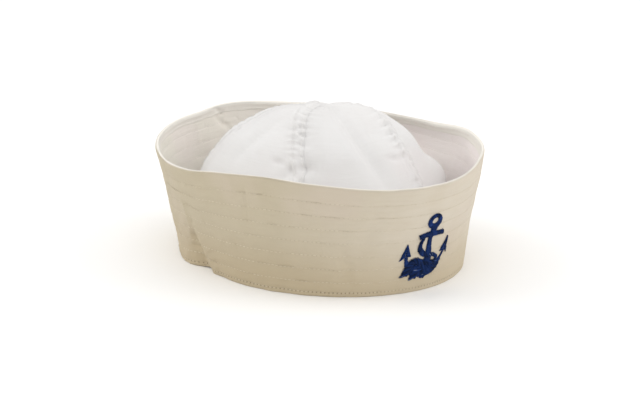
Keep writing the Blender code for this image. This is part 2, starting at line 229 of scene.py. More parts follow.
FOLDS = rows_of(
    Fold,
    (-100, 0.00, -109, 0.30, 0.0034, -0.0010),
    (-109, 0.26, -104, 0.62, 0.0018, -0.0006),
    (-111, 0.22, -108, 0.66, 0.0016, 0.0008),
    (-110.5, 0.195, -105.5, 0.180, 0.0016, -0.0011),
    (-109.5, 0.290, -105.0, 0.285, 0.0015, -0.0011),
    (-108.5, 0.430, -104.5, 0.445, 0.0012, -0.0009),
    (-106.5, 0.610, -102.5, 0.620, 0.0011, -0.0006),
    (-95, 0.02, -100, 0.30, 0.0060, 0.0010),
    (-70.2, 0.62, -70.2, 0.90, 0.0012, -0.0005),
    (-33.5, 0.10, -38.8, 0.50, 0.0034, 0.0014),
    (-30.5, 0.08, -34.0, 0.45, 0.0030, -0.0010),
    (-26.0, 0.45, -22.0, 0.95, 0.0044, -0.0010),
    (171, 0.76, 177, 0.90, 0.0016, 0.0013),
    (177, 0.88, 174.5, 0.93, 0.0014, 0.0012),
    (174.5, 0.92, 178, 1.00, 0.0014, 0.0012),
)

# how far seams stray round the oval: places along the profile, and degrees
SEAM_DRIFTS = {
    0: ((0.0, 0.0), (0.46, 1.0), (0.52, -1.5), (0.64, -5.5), (0.77, -12.0), (0.88, -10.0), (1.0, 0.0)),
    1: ((0.0, 0.0), (0.44, 0.0), (0.57, 1.0), (0.65, 4.0), (0.76, 14.0), (0.88, 11.0), (1.0, 0.0)),
    4: ((0.0, -17.0), (0.35, -18.0), (0.53, -15.0), (0.7, -11.0), (0.85, -6.0), (1.0, 0.0)),
}

PINCHES = rows_of(
    Pinch,
    (-69, 0.484, 5.0, 0.014, -0.0010, 0.0020),
    (-61, 0.474, 2.8, 0.012, -0.0110, 0.0036),
    (-51, 0.478, 6.0, 0.028, 0.0, 0.0032),
    (1, 0.500, 3.5, 0.014, -0.0020, 0.0016),
    (46, 0.385, 12.0, 0.045, 0.0, -0.0014),
    (50, 0.475, 14.0, 0.055, 0.0, 0.0030),
    (-15, 0.535, 12.0, 0.105, -0.0171, 0.0048),
    (-98, 0.540, 10.0, 0.070, 0.010, 0.0022),
    (-140, 0.560, 4.0, 0.016, 0.0015, 0.0016),
)

RING = Ring(x=0.088, y=0.875, across=0.165, tall=0.158, width=0.060)

SHANK = rows_of(
    PenPoint,
    (RING.x + 0.01, RING.y - 0.5 * RING.tall, 0.125),
    (0.070, 0.70, 0.085),
    (0.047, 0.61, 0.070),
    (0.045, 0.50, 0.085),
    (0.053, 0.41, 0.105),
    (0.050, 0.28, 0.120),
)

STOCK = rows_of(
    PenPoint,
    (-0.130, 0.652, 0.086),
    (-0.050, 0.672, 0.078),
    (0.060, 0.684, 0.092),
    (0.170, 0.680, 0.078),
    (0.258, 0.678, 0.084),
)

ARMS = rows_of(
    PenPoint,
    (-0.290, 0.385, 0.050),
    (-0.270, 0.28, 0.070),
    (-0.205, 0.19, 0.150),
    (-0.090, 0.140, 0.190),
    (0.050, 0.150, 0.175),
    (0.150, 0.190, 0.120),
    (0.235, 0.250, 0.070),
    (0.300, 0.33, 0.036),
    (0.345, 0.41, 0.030),
)

ROPE = rows_of(
    PenPoint,
    (-0.060, 0.625, 0.042),
    (-0.093, 0.555, 0.050),
    (-0.095, 0.480, 0.078),
    (-0.045, 0.410, 0.092),
    (0.035, 0.365, 0.068),
    (0.120, 0.358, 0.060),
    (0.178, 0.325, 0.054),
    (0.175, 0.265, 0.058),
    (0.100, 0.245, 0.070),
)

COIL_STRANDS = (
    rows_of(
        PenPoint,
        (0.100, 0.245, 0.080),
        (-0.030, 0.260, 0.110),
        (-0.150, 0.295, 0.115),
        (-0.225, 0.245, 0.115),
        (-0.260, 0.170, 0.115),
        (-0.285, 0.105, 0.120),
    ),
    rows_of(
        PenPoint,
        (0.180, 0.185, 0.090),
        (0.060, 0.165, 0.115),
        (-0.060, 0.190, 0.125),
        (-0.125, 0.120, 0.130),
        (-0.148, 0.045, 0.110),
    ),
    rows_of(
        PenPoint,
        (0.262, 0.265, 0.055),
        (0.215, 0.180, 0.080),
        (0.130, 0.120, 0.100),
        (0.040, 0.090, 0.110),
        (-0.005, 0.035, 0.075),
    ),
)

# tip, first barb, notch and second barb of each fluke, as shares of the emblem's height
FLUKES = (
    ((-0.290, 0.575), (-0.386, 0.328), (-0.300, 0.398), (-0.212, 0.380)),
    ((0.390, 0.582), (0.244, 0.372), (0.338, 0.402), (0.392, 0.318)),
)


class Band(NamedTuple):
    """A stretch of satin stitch: its two edges in the drawing, its layer in metres and its twist."""

    left: Array
    right: Array
    layer: float
    twisted: bool


def matched(first: Array, second: Array) -> list[Array]:
    """Two sets of numbers brought to the same shape."""
    return np.broadcast_arrays(np.asarray(first, float), np.asarray(second, float))


def curve(a: Array, b: Array, c: Array, d: Array, t: Array) -> Array:
    """A smooth line from b (t is 0) to c (t is 1), with a before them and d after."""
    return b + 0.5 * t * (c - a + t * (2 * a - 5 * b + 4 * c - d + t * (3 * (b - c) + d - a)))


def direction(azimuth: Array) -> Array:
    """Unit vectors in plan for azimuths in degrees."""
    a = np.radians(azimuth)
    return np.stack([np.sin(a), -np.cos(a), np.zeros_like(a)], axis=-1)


def turned(azimuth: Array, centre: float) -> Array:
    """How far an azimuth lies from a centre, from -180 to 180 degrees."""
    return (np.asarray(azimuth, float) - centre + 180) % 360 - 180


def hump(distance: Array, spread: float) -> Array:
    """1 at no distance, falling smoothly to nothing."""
    return np.exp(-((distance / spread) ** 2))


def eased(value: Array, low: float, high: float) -> Array:
    """0 below low, 1 above high and smooth in between."""
    t = np.clip((value - low) / (high - low), 0, 1)
    return t * t * (3 - 2 * t)


def round_table(rows: Sequence[RimRow], column: str, azimuth: Array) -> Array:
    """Read a column of an azimuth table as a smooth closed curve.

    Args:
        rows: The table, in the order of its azimuths.
        column: The name of the column.
        azimuth: Where to read it, in degrees.

    Returns:
        The column's value at each azimuth.
    """
    at = np.array([row.azimuth for row in rows], float)
    value = np.array([getattr(row, column) for row in rows], float)
    at = np.concatenate([at[-2:] - 360, at, at[:2] + 360])
    value = np.concatenate([value[-2:], value, value[:2]])
    slope = (value[2:] - value[:-2]) / (at[2:] - at[:-2])
    at, value = at[1:-1], value[1:-1]
    azimuth = (np.asarray(azimuth, float) - at[0]) % 360 + at[0]
    k = np.clip(np.searchsorted(at, azimuth, side="right") - 1, 0, len(at) - 2)
    width = at[k + 1] - at[k]
    t = (azimuth - at[k]) / width
    return (
        (1 + 2 * t) * (1 - t) ** 2 * value[k]
        + t * (1 - t) ** 2 * width * slope[k]
        + t * t * (3 - 2 * t) * value[k + 1]
        + t * t * (t - 1) * width * slope[k + 1]
    )


def smooth_line(points: Array, steps: int) -> Array:
    """Draw a smooth line through points.

    Args:
        points: One row for each point, with any number of values.
        steps: How many places to give for each stretch between two points.

    Returns:
        The places along the line, with the same values for each.
    """
    p = np.vstack([2 * points[0] - points[1], points, 2 * points[-1] - points[-2]])
    line = []
    for k in range(1, len(p) - 2):
        t = np.linspace(0, 1, steps, endpoint=k == len(p) - 3)[:, None]
        line.append(curve(*p[k - 1 : k + 3], t))
    return np.vstack(line)


@dataclass(frozen=True)
class Unevenness:
    """Smooth random relief that closes round the cap and is the same in each run."""

    seed: int
    around: int
    cell: float = 1.0
    height: float = 1.0
    rows: int = 48

    def at(self, turn: Array, up: Array) -> Array:
        """Read the relief.

        Args:
            turn: Share of the way round, from 0 to 1.
            up: How far up the cloth, in the measure of cell.

        Returns:
            Values from -height to height.
        """
        table = np.random.default_rng(self.seed).uniform(-1, 1, (self.rows, self.around))
        x, y = matched(np.asarray(turn, float) * self.around, np.asarray(up, float) / self.cell)
        left, low = np.floor(x).astype(int), np.floor(y).astype(int)
        u, v = x - left, y - low
        u, v = u * u * (3 - 2 * u), v * v * (3 - 2 * v)
        corner = [table[(low + j) % self.rows, (left + i) % self.around] for j in (0, 1) for i in (0, 1)]
        low_row, high_row = (corner[k] * (1 - u) + corner[k + 1] * u for k in (0, 2))
        return self.height * (low_row * (1 - v) + high_row * v)


@dataclass(frozen=True)
class CapForm:
    """The cap's form: the brim's outer face and the crown's inner face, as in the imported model."""

    foot_half_length: float = 0.1060
    foot_half_width: float = 0.0880
    brim_height: float = 0.0765
    brim_flare: float = 0.0150
    flare_bend: float = 1.15
    curl_height: float = 0.80
    curl_spread: float = 0.14
    curl_drop: float = 1.3
    foot_fade: float = 2.0
    rim_fade: float = 2.5
    brim_wall: float = 0.0022
    hem_width: float = 0.0060
    foot_fold: float = 0.0010
    turn_height: float = 0.0070
    cloth: float = 0.0010
    crown_height: float = 0.1040
    gores: int = 5
    first_seam: float = -60.0
    seam_lap: float = 0.0088
    gore_puff: float = 0.0016
    crown_lean: float = 0.0220
    lean_azimuth: float = 132.0
    slump_start: float = 0.5
    slump: float = 0.21
    slump_azimuth: float = 138.0
    slump_ease: float = 0.0080
    tip_radius: float = 0.0003
    top_share: float = 0.4
    side_share: float = 0.5
    gap: float = 0.0003

    @property
    def slope(self) -> float:
        """Length of the brim's wall from its foot to its rim."""
        return math.hypot(self.brim_height, self.brim_flare)

    @property
    def girth(self) -> float:
        """Mean length round the brim."""
        return math.pi * (self.foot_half_length + self.foot_half_width + self.brim_flare)

    def oval(self, half_length: float, half_width: float, azimuth: Array) -> Array:
        """Radius of an oval whose long axis runs front to back."""
        a = np.radians(azimuth)
        return half_length * half_width / np.hypot(half_width * np.cos(a), half_length * np.sin(a))

    def oval_angle(self, azimuth: Array) -> Array:
        """An azimuth as the oval's own angle, which runs evenly round its edge."""
        a = np.radians(azimuth)
        return np.degrees(np.arctan2(np.sin(a) * self.foot_half_length, np.cos(a) * self.foot_half_width))

    def azimuth_of(self, angle: Array) -> Array:
        """The azimuth at the oval's own angle."""
        a = np.radians(angle)
        return np.degrees(np.arctan2(np.sin(a) * self.foot_half_width, np.cos(a) * self.foot_half_length))

    def crease_depth(self, azimuth: Array, share: Array) -> Array:
        """Find how far the creases push the wall in.

        Args:
            azimuth: Where round the cap, in degrees.
            share: Share of the brim's height.

        Returns:
            Depths in metres.
        """
        low, high = np.clip(1 - share, 0, 1) ** self.foot_fade, np.clip(share, 0, 1) ** self.rim_fade
        depth = 0.0
        for c in CREASES:
            near = hump(turned(azimuth, c.azimuth + c.lean * share), c.spread)
            depth = depth + near * (c.foot_depth * low + c.rim_depth * high)
        return self.brim_flare * depth

    def foot_lift(self, azimuth: Array) -> Array:
        """How far the foot rises off the floor at a crease."""
        lifts = (c.foot_lift * hump(turned(azimuth, c.azimuth), c.spread) for c in CREASES)
        return self.brim_flare * sum(lifts)

    def brim_face(self, azimuth: Array, share: Array) -> Array:
        """Find points of the brim's outer face.

        Args:
            azimuth: Where round the cap, in degrees.
            share: Share of the brim's height.

        Returns:
            The points.
        """
        azimuth, share = matched(azimuth, share)
        flare = self.brim_flare * round_table(RIM, "flare", azimuth)
        curl = self.brim_flare * round_table(RIM, "curl", azimuth)
        radius = self.oval(self.foot_half_length, self.foot_half_width, azimuth)
        radius = radius + flare * np.clip(share, 0, None) ** self.flare_bend
        over = np.clip((share - self.curl_height) / (1 - self.curl_height), 0, 1)
        bulge = hump(share - self.curl_height, self.curl_spread)
        radius = radius + curl * (bulge - self.curl_drop * over**2)
        radius = radius - self.crease_depth(azimuth, share)
        height = self.brim_height * share * (1 + round_table(RIM, "lift", azimuth) * share)
        point = direction(azimuth) * radius[..., None]
        point[..., 2] = height + self.foot_lift(azimuth) * (1 - np.clip(share, 0, 1))
        return point

    def profile(self, along: Array) -> tuple[Array, Array]:
        """Read the crown's profile as a smooth line.

        Args:
            along: Place along the profile, from the crown's foot (0) to its top (1).

        Returns:
            Shares of the foot's radius and of the crown's height.
        """
        rows = np.array(PROFILE, float)
        rows = np.vstack([2 * rows[0] - rows[1], rows, rows[-2] * (-1, 1)])
        place = np.clip(np.asarray(along, float), 0, 1) * (len(PROFILE) - 1)
        k = np.clip(place.astype(int), 0, len(PROFILE) - 2)
        t = (place - k)[..., None]
        shape = curve(*(rows[k + n] for n in range(4)), t)
        return shape[..., 0], shape[..., 1]

    def crown_face(self, azimuth: Array, along: Array) -> Array:
        """Find points of the crown's inner face.

        Args:
            azimuth: Where round the cap, in degrees.
            along: Place along the profile.

        Returns:
            The points.
        """
        azimuth, along = matched(azimuth, along)
        seat = self.brim_wall + 2 * self.gap + 2 * self.cloth
        foot, top = self.foot_fold + self.gap, self.crown_height - 2 * self.cloth - self.gap
        narrowed, raised = self.profile(along)
        radius = self.oval(self.foot_half_length - seat, self.foot_half_width - seat, azimuth) * narrowed
        height = foot + (top - foot) * raised
        gore = turned(self.oval_angle(azimuth), self.first_seam) / (360 / self.gores)
        swell = self.gore_puff * np.sin(math.pi * (gore % 1)) ** 2 * np.sin(math.pi * raised**1.5) ** 2
        push = self.crease_depth(azimuth, height / self.brim_height)
        for d in DENTS:
            near = hump(turned(azimuth, d.azimuth), d.spread) * hump(raised - d.height, d.tall)
            push = push + self.crown_height * d.depth * near
        push = push * np.clip(narrowed / self.top_share, 0, 1) ** 2
        inwards = np.clip(narrowed / self.side_share, 0, 1) ** 0.5
        point = direction(azimuth) * (radius + swell - push * inwards)[..., None]
        slack = np.clip((raised - self.slump_start) / (1 - self.slump_start), 0, 1)
        lean = direction(np.array(self.lean_azimuth))
        point = point + lean * (self.crown_lean * slack**1.5)[..., None]
        behind = point @ direction(np.array(self.slump_azimuth)) / self.slump_ease
        sink = self.slump * self.slump_ease * np.logaddexp(0, behind) * slack
        point[..., 2] = height + self.foot_lift(azimuth) * (1 - raised) ** 2 - push * (1 - inwards) - sink
        return point

    def out_from(
        self, face: Callable[..., Array], azimuth: Array, share: Array, out: Array
    ) -> Array:
        """Find points at a distance out from a face.

        Args:
            face: brim_face or crown_face.
            azimuth: Where round the cap, in degrees.
            share: Where up the face.
            out: Distance outwards in metres, negative for inwards.

        Returns:
            The points.
        """
        azimuth, share = matched(azimuth, share)
        a, s = 0.05, 0.002
        round_it = face(azimuth + a, share) - face(azimuth - a, share)
        up_it = face(azimuth, share + s) - face(azimuth, share - s)
        n = np.cross(round_it, up_it)
        n /= np.maximum(np.linalg.norm(n, axis=-1, keepdims=True), 1e-12)
        return face(azimuth, share) + n * np.asarray(out)[..., None]

    def along_at_height(self, height: float) -> float:
        """Place along the crown's profile at a height over the floor."""
        along = np.linspace(0, 1, 400)
        return float(np.interp(height / self.crown_height, self.profile(along)[1], along))

    def along_at_radius(self, radius: float) -> float:
        """Place along the crown's profile, near its top, at a radius."""
        along = np.linspace(1, 0, 400)
        return float(np.interp(radius / self.foot_half_width, self.profile(along)[0], along))


class Value:
    """A shader socket that takes part in Python arithmetic by adding Math nodes."""

    def __init__(self, bench: "ShaderBench", socket: bpy.types.NodeSocket) -> None:
        """Wrap a socket of a bench's material."""
        self.bench = bench
        self.socket = socket

    def _math(self, operation: str, *terms: object) -> "Value":
        """A Math node on some terms."""
        node = self.bench.node("ShaderNodeMath", {"operation": operation}, dict(enumerate(terms)))
        return Value(self.bench, node.outputs[0])

    def __add__(self, other: object) -> "Value":
        """Sum."""
        return self._math("ADD", self, other)

    def __sub__(self, other: object) -> "Value":
        """Difference."""
        return self._math("SUBTRACT", self, other)

    def __rsub__(self, other: object) -> "Value":
        """Difference from a number."""
        return self._math("SUBTRACT", other, self)

    def __mul__(self, other: object) -> "Value":
        """Product."""
        return self._math("MULTIPLY", self, other)

    def __truediv__(self, other: object) -> "Value":
        """Quotient."""
        return self._math("DIVIDE", self, other)

    __radd__ = __add__
    __rmul__ = __mul__

    def sine(self) -> "Value":
        """Sine of an angle in radians."""
        return self._math("SINE", self)

    def size(self) -> "Value":
        """The value without its sign."""
        return self._math("ABSOLUTE", self)

    def fraction(self) -> "Value":
        """The part after the decimal point."""
        return self._math("FRACT", self)

    def clear(self, low: float, high: float, to_low: float = 0.0, to_high: float = 1.0) -> "Value":
        """Bring the value smoothly from one range to another.

        Args:
            low: Where the first range starts.
            high: Where it ends.
            to_low: What the result is at its start and before it.
            to_high: What the result is at its end and beyond.

        Returns:
            The result.
        """
        node = self.bench.node(
            "ShaderNodeMapRange",
            {"interpolation_type": "SMOOTHSTEP"},
            {"Value": self, "From Min": low, "From Max": high, "To Min": to_low, "To Max": to_high},
        )
        return Value(self.bench, node.outputs["Result"])


class ShaderBench:
    """Builds the nodes of one material."""

    def __init__(self, name: str) -> None:
        """Start a material with a surface shader."""
        self.material = bpy.data.materials.new(name)
        self.material.use_nodes = True
        self.tree = self.material.node_tree
        self.shader = self.tree.nodes["Principled BSDF"]

    def node(
        self, kind: str, settings: dict[str, object], inputs: dict[object, object]
    ) -> bpy.types.ShaderNode:
        """Add a node.

        Args:
            kind: Blender's name for the node's type.
            settings: The node's own settings, which are set first.
            inputs: A value or a link for each socket, by its name or number.

        Returns:
            The node.
        """
        made = self.tree.nodes.new(kind)
        for key, value in settings.items():
            setattr(made, key, value)
        for key, value in inputs.items():
            self.feed(made.inputs[key], value)
        return made

    def feed(self, socket: bpy.types.NodeSocket, value: object) -> None:
        """Link an input, or set its own value.

        Args:
            socket: The input.
            value: A wrapped socket or a socket to link it to, or the value itself.
        """
        if isinstance(value, Value):
            value = value.socket
        if isinstance(value, bpy.types.NodeSocket):
            self.tree.links.new(value, socket)
        elif socket.type == "RGBA" and len(value) == 3:
            socket.default_value = (*value, 1)
        else:
            socket.default_value = value

    def number(self, node: bpy.types.ShaderNode, output: str) -> Value:
        """A node's output, ready for arithmetic."""
        return Value(self, node.outputs[output])

    def place(self) -> tuple[bpy.types.NodeSocket, Value, Value, Value]:
        """The place on the cloth, whole and as its three values."""
        where = self.node("ShaderNodeAttribute", {"attribute_name": PLACE}, {}).outputs["Vector"]
        split = self.node("ShaderNodeSeparateXYZ", {}, {0: where})
        return (where, *(Value(self, output) for output in split.outputs))

    def noise(self, cloud: Cloud, where: bpy.types.NodeSocket | None = None) -> Value:
        """Add a cloudy pattern.

        Args:
            cloud: The pattern.
            where: A socket with coordinates, or None for the object's own.

        Returns:
            Values round 0.5.
        """
        if where is None:
            where = self.node("ShaderNodeTexCoord", {}, {}).outputs["Object"]
        moved = self.node("ShaderNodeVectorMath", {"operation": "MULTIPLY"}, {0: where, 1: cloud.stretch})
        inputs = {"Vector": moved.outputs[0], "Scale": cloud.scale, "Detail": cloud.detail}
        return self.number(self.node("ShaderNodeTexNoise", {}, inputs), "Fac")

    def mixed(self, factor: object, first: object, second: object) -> bpy.types.NodeSocket:
        """Two colours mixed."""
        inputs = {0: factor, 6: first, 7: second}
        settings = {"data_type": "RGBA", "clamp_factor": True}
        return self.node("ShaderNodeMix", settings, inputs).outputs[2]

    def bumped(self, height: Value, strength: float = 1.0) -> bpy.types.NodeSocket:
        """A normal from a height in metres."""
        inputs = {"Height": height, "Distance": 1.0, "Strength": strength}
        return self.node("ShaderNodeBump", {}, inputs).outputs["Normal"]

    def finish(self, **sockets: object) -> Finish:
        """Set the shader's sockets, named with underscores, and give the material."""
        for name, value in sockets.items():
            self.feed(self.shader.inputs[name.replace("_", " ")], value)
        return self.material


@dataclass(frozen=True)
class CottonTwill:
    """Cotton twill with a slanting weave, uneven yarns, soft blotches and needle holes along its rows."""

    name: str
    colour: Colour
    shade: Colour
    lining: Colour
    foot_tone: Colour
    blush: Colour
    # Colour of the painted shade in the needle holes' pits.
    hole_shade: Colour | None = None
    rows: tuple[float, ...] = ()
    stitch: float = 0.0025
    # Darker, yellower tone round the left and back-left: partly ageing, partly painted shade on the side
    # turned from the key lamp. Near the foot it goes further towards the hole colour, as painted shade.
    aged_and_shaded_side: Colour | None = None
    girth: float = 1.0
    aged_and_shaded_turn: float = 0.40
    aged_and_shaded_foot: float = 0.30
    blush_strength: float = 0.4
    # Tone towards the foot of the cloth: darker and yellower on the brim and lining, a little lighter on
    # the crown.
    foot_tone_height: float = 0.045
    foot_tone_strength: float = 0.7
    hole_strength: float = 0.8
    faint: float = 0.20
    hole_core: float = 0.00015
    first_reach: float = 0.00085
    later_reach: float = 0.00055
    hole_depth: float = 0.00025
    weave: float = 0.00055
    weave_depth: float = 0.00005
    fuzz_depth: float = 0.00010
    roughness: float = 0.88
    yarn_cloud: Cloud = Cloud(900.0, 2.0, (0.25, 2.2, 1.0))
    slub_cloud: Cloud = Cloud(160.0, 3.0, (0.22, 3.0, 1.0))
    blotch_cloud: Cloud = Cloud(34.0, 4.0)
    fuzz_cloud: Cloud = Cloud(210.0, 3.0)
    blush_cloud: Cloud = Cloud(17.0, 3.0, (1.0, 1.0, 0.7))
    patch_cloud: Cloud = Cloud(22.0, 2.0)

    def needle_holes(self, bench: ShaderBench, along: Value, up: Value) -> Value:
        """Mark the needle's holes, darkened with painted shade in their pits: plain along the first row,
        faint and patchy along the others.

        Args:
            bench: The material's bench.
            along: Length round the cap.
            up: Length up the cloth.

        Returns:
            How strongly a hole shows, from 0 to 1.
        """
        patch = bench.noise(self.patch_cloud)
        gap = ((along / self.stitch).fraction() - 0.5).size()
        first = gap.clear(0.30, 0.44) * patch.clear(0.3, 0.6, 0.35, self.hole_strength)
        later = gap.clear(0.36, 0.47) * (patch.clear(0.44, 0.62) * self.faint)
        marks = []
        for row in self.rows:
            reach, strength = (self.later_reach, later) if marks else (self.first_reach, first)
            marks.append((up - row).size().clear(self.hole_core, reach, 1.0, 0.0) * strength)
        return sum(marks[1:], marks[0])

    def material(self) -> Finish:
        """The finish as a material."""
        bench = ShaderBench(self.name)
        place, along, up, side = bench.place()
        slant = ((along * 0.8 + up * 1.3) * (2 * math.pi / self.weave)).sine()
        yarn, slub = bench.noise(self.yarn_cloud, place), bench.noise(self.slub_cloud, place)
        blotch, fuzz = bench.noise(self.blotch_cloud), bench.noise(self.fuzz_cloud)
        low = up.clear(0.0, self.foot_tone_height, 1.0, 0.0)
        worn = (blotch.clear(0.38, 0.68) * 0.75 + slub.clear(0.35, 0.7) * 0.35) * 0.8
        outer = bench.mixed(worn, self.colour, self.shade)
        # Painted shade, partly ageing: the left and back-left turn darker and yellower, and darker still
        # near the foot.
        if self.aged_and_shaded_side is not None:
            turn = ((along / self.girth - self.aged_and_shaded_turn) * (2 * math.pi)).sine()
            aged_and_shaded = (turn + blotch * 0.6).clear(0.9, -0.5)
            outer = bench.mixed(aged_and_shaded, outer, self.aged_and_shaded_side)
            outer = bench.mixed(aged_and_shaded * low * self.aged_and_shaded_foot, outer, self.hole_shade)
        blush = bench.noise(self.blush_cloud).clear(0.5, 0.68) * self.blush_strength
        outer = bench.mixed(blush, outer, self.blush)
        # Towards its foot the cloth takes its foot tone.
        outer = bench.mixed(low * self.foot_tone_strength, outer, self.foot_tone)
        colour = bench.mixed(side.clear(0.05, 0.95), outer, self.lining)
        height = slant * self.weave_depth + yarn * (self.weave_depth * 3) + slub * (self.weave_depth * 6)
        if self.rows:
            holes = self.needle_holes(bench, along, up)
            # Needle holes: painted shade in the pits, with a small dip in the bump.
            colour = bench.mixed(holes, colour, self.hole_shade)
            height = height - holes * self.hole_depth
        return bench.finish(
            Base_Color=colour,
            Roughness=fuzz * 0.1 + (self.roughness - 0.05),
            Normal=bench.bumped(height + fuzz * self.fuzz_depth),
            Sheen_Weight=0.12,
            Sheen_Roughness=0.6,
            Specular_IOR_Level=0.25,
        )


@dataclass(frozen=True)
class Thread:
    """Spun thread whose strands wind round it, with a tone of its own for each stitch."""

    name: str
    colour: Colour
    light: Colour
    roughness: float
    sheen: float
    gloss: float = 0.2
    # Colour for tones over 1: painted glints.
    pale: Colour | None = None
    twist: float = 0.0007
    relief: float = 0.00003
    fibre_cloud: Cloud = Cloud(1500.0, 2.0)
    tone_cloud: Cloud = Cloud(260.0, 3.0)

    def material(self) -> Finish:
        """The finish as a material."""
        bench = ShaderBench(self.name)
        tone = bench.number(bench.node("ShaderNodeAttribute", {"attribute_name": TONE}, {}), "Fac")
        _, along, across, _ = bench.place()
        strand = ((along * (1 / self.twist) + across * 0.5) * (2 * math.pi)).sine()
        fibre, cloud = bench.noise(self.fibre_cloud), bench.noise(self.tone_cloud)
        mix = tone * 0.62 + strand * 0.10 + cloud.clear(0.35, 0.7) * 0.22
        colour = bench.mixed(mix, self.colour, self.light)
        # Tones over 1 turn pale blue-grey: painted glints.
        if self.pale is not None:
            colour = bench.mixed(tone.clear(1.0, 1.5) * cloud.clear(0.4, 0.6), colour, self.pale)
        return bench.finish(
            Base_Color=colour,
            Roughness=fibre * 0.2 + (self.roughness - 0.1),
            Normal=bench.bumped(strand * self.relief + fibre * self.relief),
            Sheen_Weight=self.sheen,
            Specular_IOR_Level=self.gloss,
        )


@dataclass(frozen=True)
class PaleFloor:
    """A plain, nearly white, matt floor with the faintest unevenness."""

    name: str = "pale_floor"
    colour: Colour = (0.985, 0.985, 0.985)
    worn: Colour = (0.97, 0.97, 0.97)
    cloud: Cloud = Cloud(3.0, 2.0)

    def material(self) -> Finish:
        """The finish as a material."""
        bench = ShaderBench(self.name)
        colour = bench.mixed(bench.noise(self.cloud).clear(0.3, 0.7), self.colour, self.worn)
        return bench.finish(Base_Color=colour, Roughness=0.9, Specular_IOR_Level=0.1)


# heights of the brim's rows of stitches, measured up its wall
BRIM_ROWS = (0.0028, 0.0100, 0.0193, 0.0286, 0.0380, 0.0474, 0.0568, 0.0662)
FORM = CapForm()
STITCHES_ROUND = 230
BRIM_TWILL = CottonTwill(
    name="brim_twill",
    colour=(0.755, 0.680, 0.565),
    shade=(0.705, 0.622, 0.490),
    lining=(0.920, 0.880, 0.810),
    foot_tone=(0.590, 0.485, 0.315),
    blush=(0.700, 0.600, 0.500),
    rows=BRIM_ROWS,
    stitch=FORM.girth / STITCHES_ROUND,
    hole_shade=(0.270, 0.200, 0.120),
    # painted shade, partly ageing, for the left of the brim
    aged_and_shaded_side=(0.575, 0.500, 0.360),
    girth=FORM.girth,
)
LINING_TWILL = CottonTwill(
    name="lining_twill",
    colour=(0.965, 0.905, 0.875),
    shade=(0.945, 0.880, 0.845),
    lining=(0.950, 0.900, 0.855),
    foot_tone=(0.870, 0.795, 0.720),
    blush=(0.955, 0.865, 0.845),
    hole_shade=(0.550, 0.480, 0.420),
    aged_and_shaded_side=(0.930, 0.890, 0.800),
    girth=FORM.girth,
)
CROWN_TWILL = CottonTwill(
    name="crown_twill",
    colour=(0.808, 0.799, 0.793),
    shade=(0.778, 0.763, 0.755),
    lining=(0.800, 0.785, 0.770),
    foot_tone=(0.825, 0.805, 0.785),
    blush=(0.800, 0.742, 0.742),
)
LINING_THREAD = Thread("lining_thread", (0.860, 0.800, 0.750), (0.910, 0.860, 0.810), 0.7, 0.05)
CREAM_THREAD = Thread("cream_thread", (0.640, 0.560, 0.430), (0.740, 0.670, 0.545), 0.75, 0.03)
WHITE_THREAD = Thread("white_thread", (0.800, 0.785, 0.770), (0.890, 0.880, 0.870), 0.62, 0.10)
# The navy thread's light colour is partly paler thread and partly painted highlight on the satin, spread at
# random.
NAVY_THREAD = Thread(
    name="navy_satin_thread",
    colour=(0.002, 0.007, 0.024),
    light=(0.018, 0.054, 0.230),
    roughness=0.5,
    sheen=0.0,
    gloss=0.06,
    pale=(0.200, 0.240, 0.330),
)


def cells(rows: int, columns: int) -> tuple[Array, Array]:
    """Row and column numbers of a grid's cells."""
    row, column = np.meshgrid(np.arange(rows), np.arange(columns), indexing="ij")
    return row.ravel(), column.ravel()


@dataclass
class ClothGrid:
    """A grid of points, closed round along its rows, that becomes one closed piece of cloth.

    places has one more column than points, where the grid closes round.
    """

    name: str
    points: Array
    places: Array
    finish: Finish
    closed_section: bool = False

    def build(self) -> Piece:
        """The piece, with its place attribute on the corners of its faces."""
        rows, columns = self.points.shape[:2]
        row, column = cells(rows if self.closed_section else rows - 1, columns)
        offsets = ((0, 0), (0, 1), (1, 1), (1, 0))
        corners = np.stack([(row + i) % rows * columns + (column + j) % columns for i, j in offsets], 1)
        width = self.places.shape[1]
        where = np.stack([(row + i) % rows * width + column + j for i, j in offsets], 1)
        points = self.points.reshape(-1, 3)
        a, b, d = (points[corners[:, n]] for n in (0, 1, 2))
        if np.einsum("ij,ij->", a, np.cross(b, d)) < 0:
            corners, where = corners[:, ::-1], where[:, ::-1]
        return piece_of(self.name, points, corners, self.finish, self.places.reshape(-1, 3)[where])


def piece_of(
    name: str,
    points: Array,
    faces: Array,
    finish: Finish,
    places: Array,
) -> Piece:
    """Make an object from points and four-cornered faces.

    Args:
        name: The piece's name.
        points: Its points.
        faces: Four point numbers for each face.
        finish: Its material.
        places: The three values of its place, for each corner of each face.

    Returns:
        The object, shaded smooth.
    """
    mesh = bpy.data.meshes.new(name)
    mesh.vertices.add(len(points))
    mesh.vertices.foreach_set("co", points.astype(np.float32).ravel())
    mesh.loops.add(faces.size)
    mesh.loops.foreach_set("vertex_index", faces.astype(np.int32).ravel())
    mesh.polygons.add(len(faces))
    mesh.polygons.foreach_set("loop_start", np.arange(0, faces.size, 4, dtype=np.int32))
    mesh.update(calc_edges=True)
    mesh.validate()
    placed = mesh.attributes.new(PLACE, "FLOAT_VECTOR", "CORNER")
    placed.data.foreach_set("vector", places.astype(np.float32).ravel())
    mesh.shade_smooth()
    mesh.materials.append(finish)
    made = bpy.data.objects.new(name, mesh)
    bpy.context.scene.collection.objects.link(made)
    return made


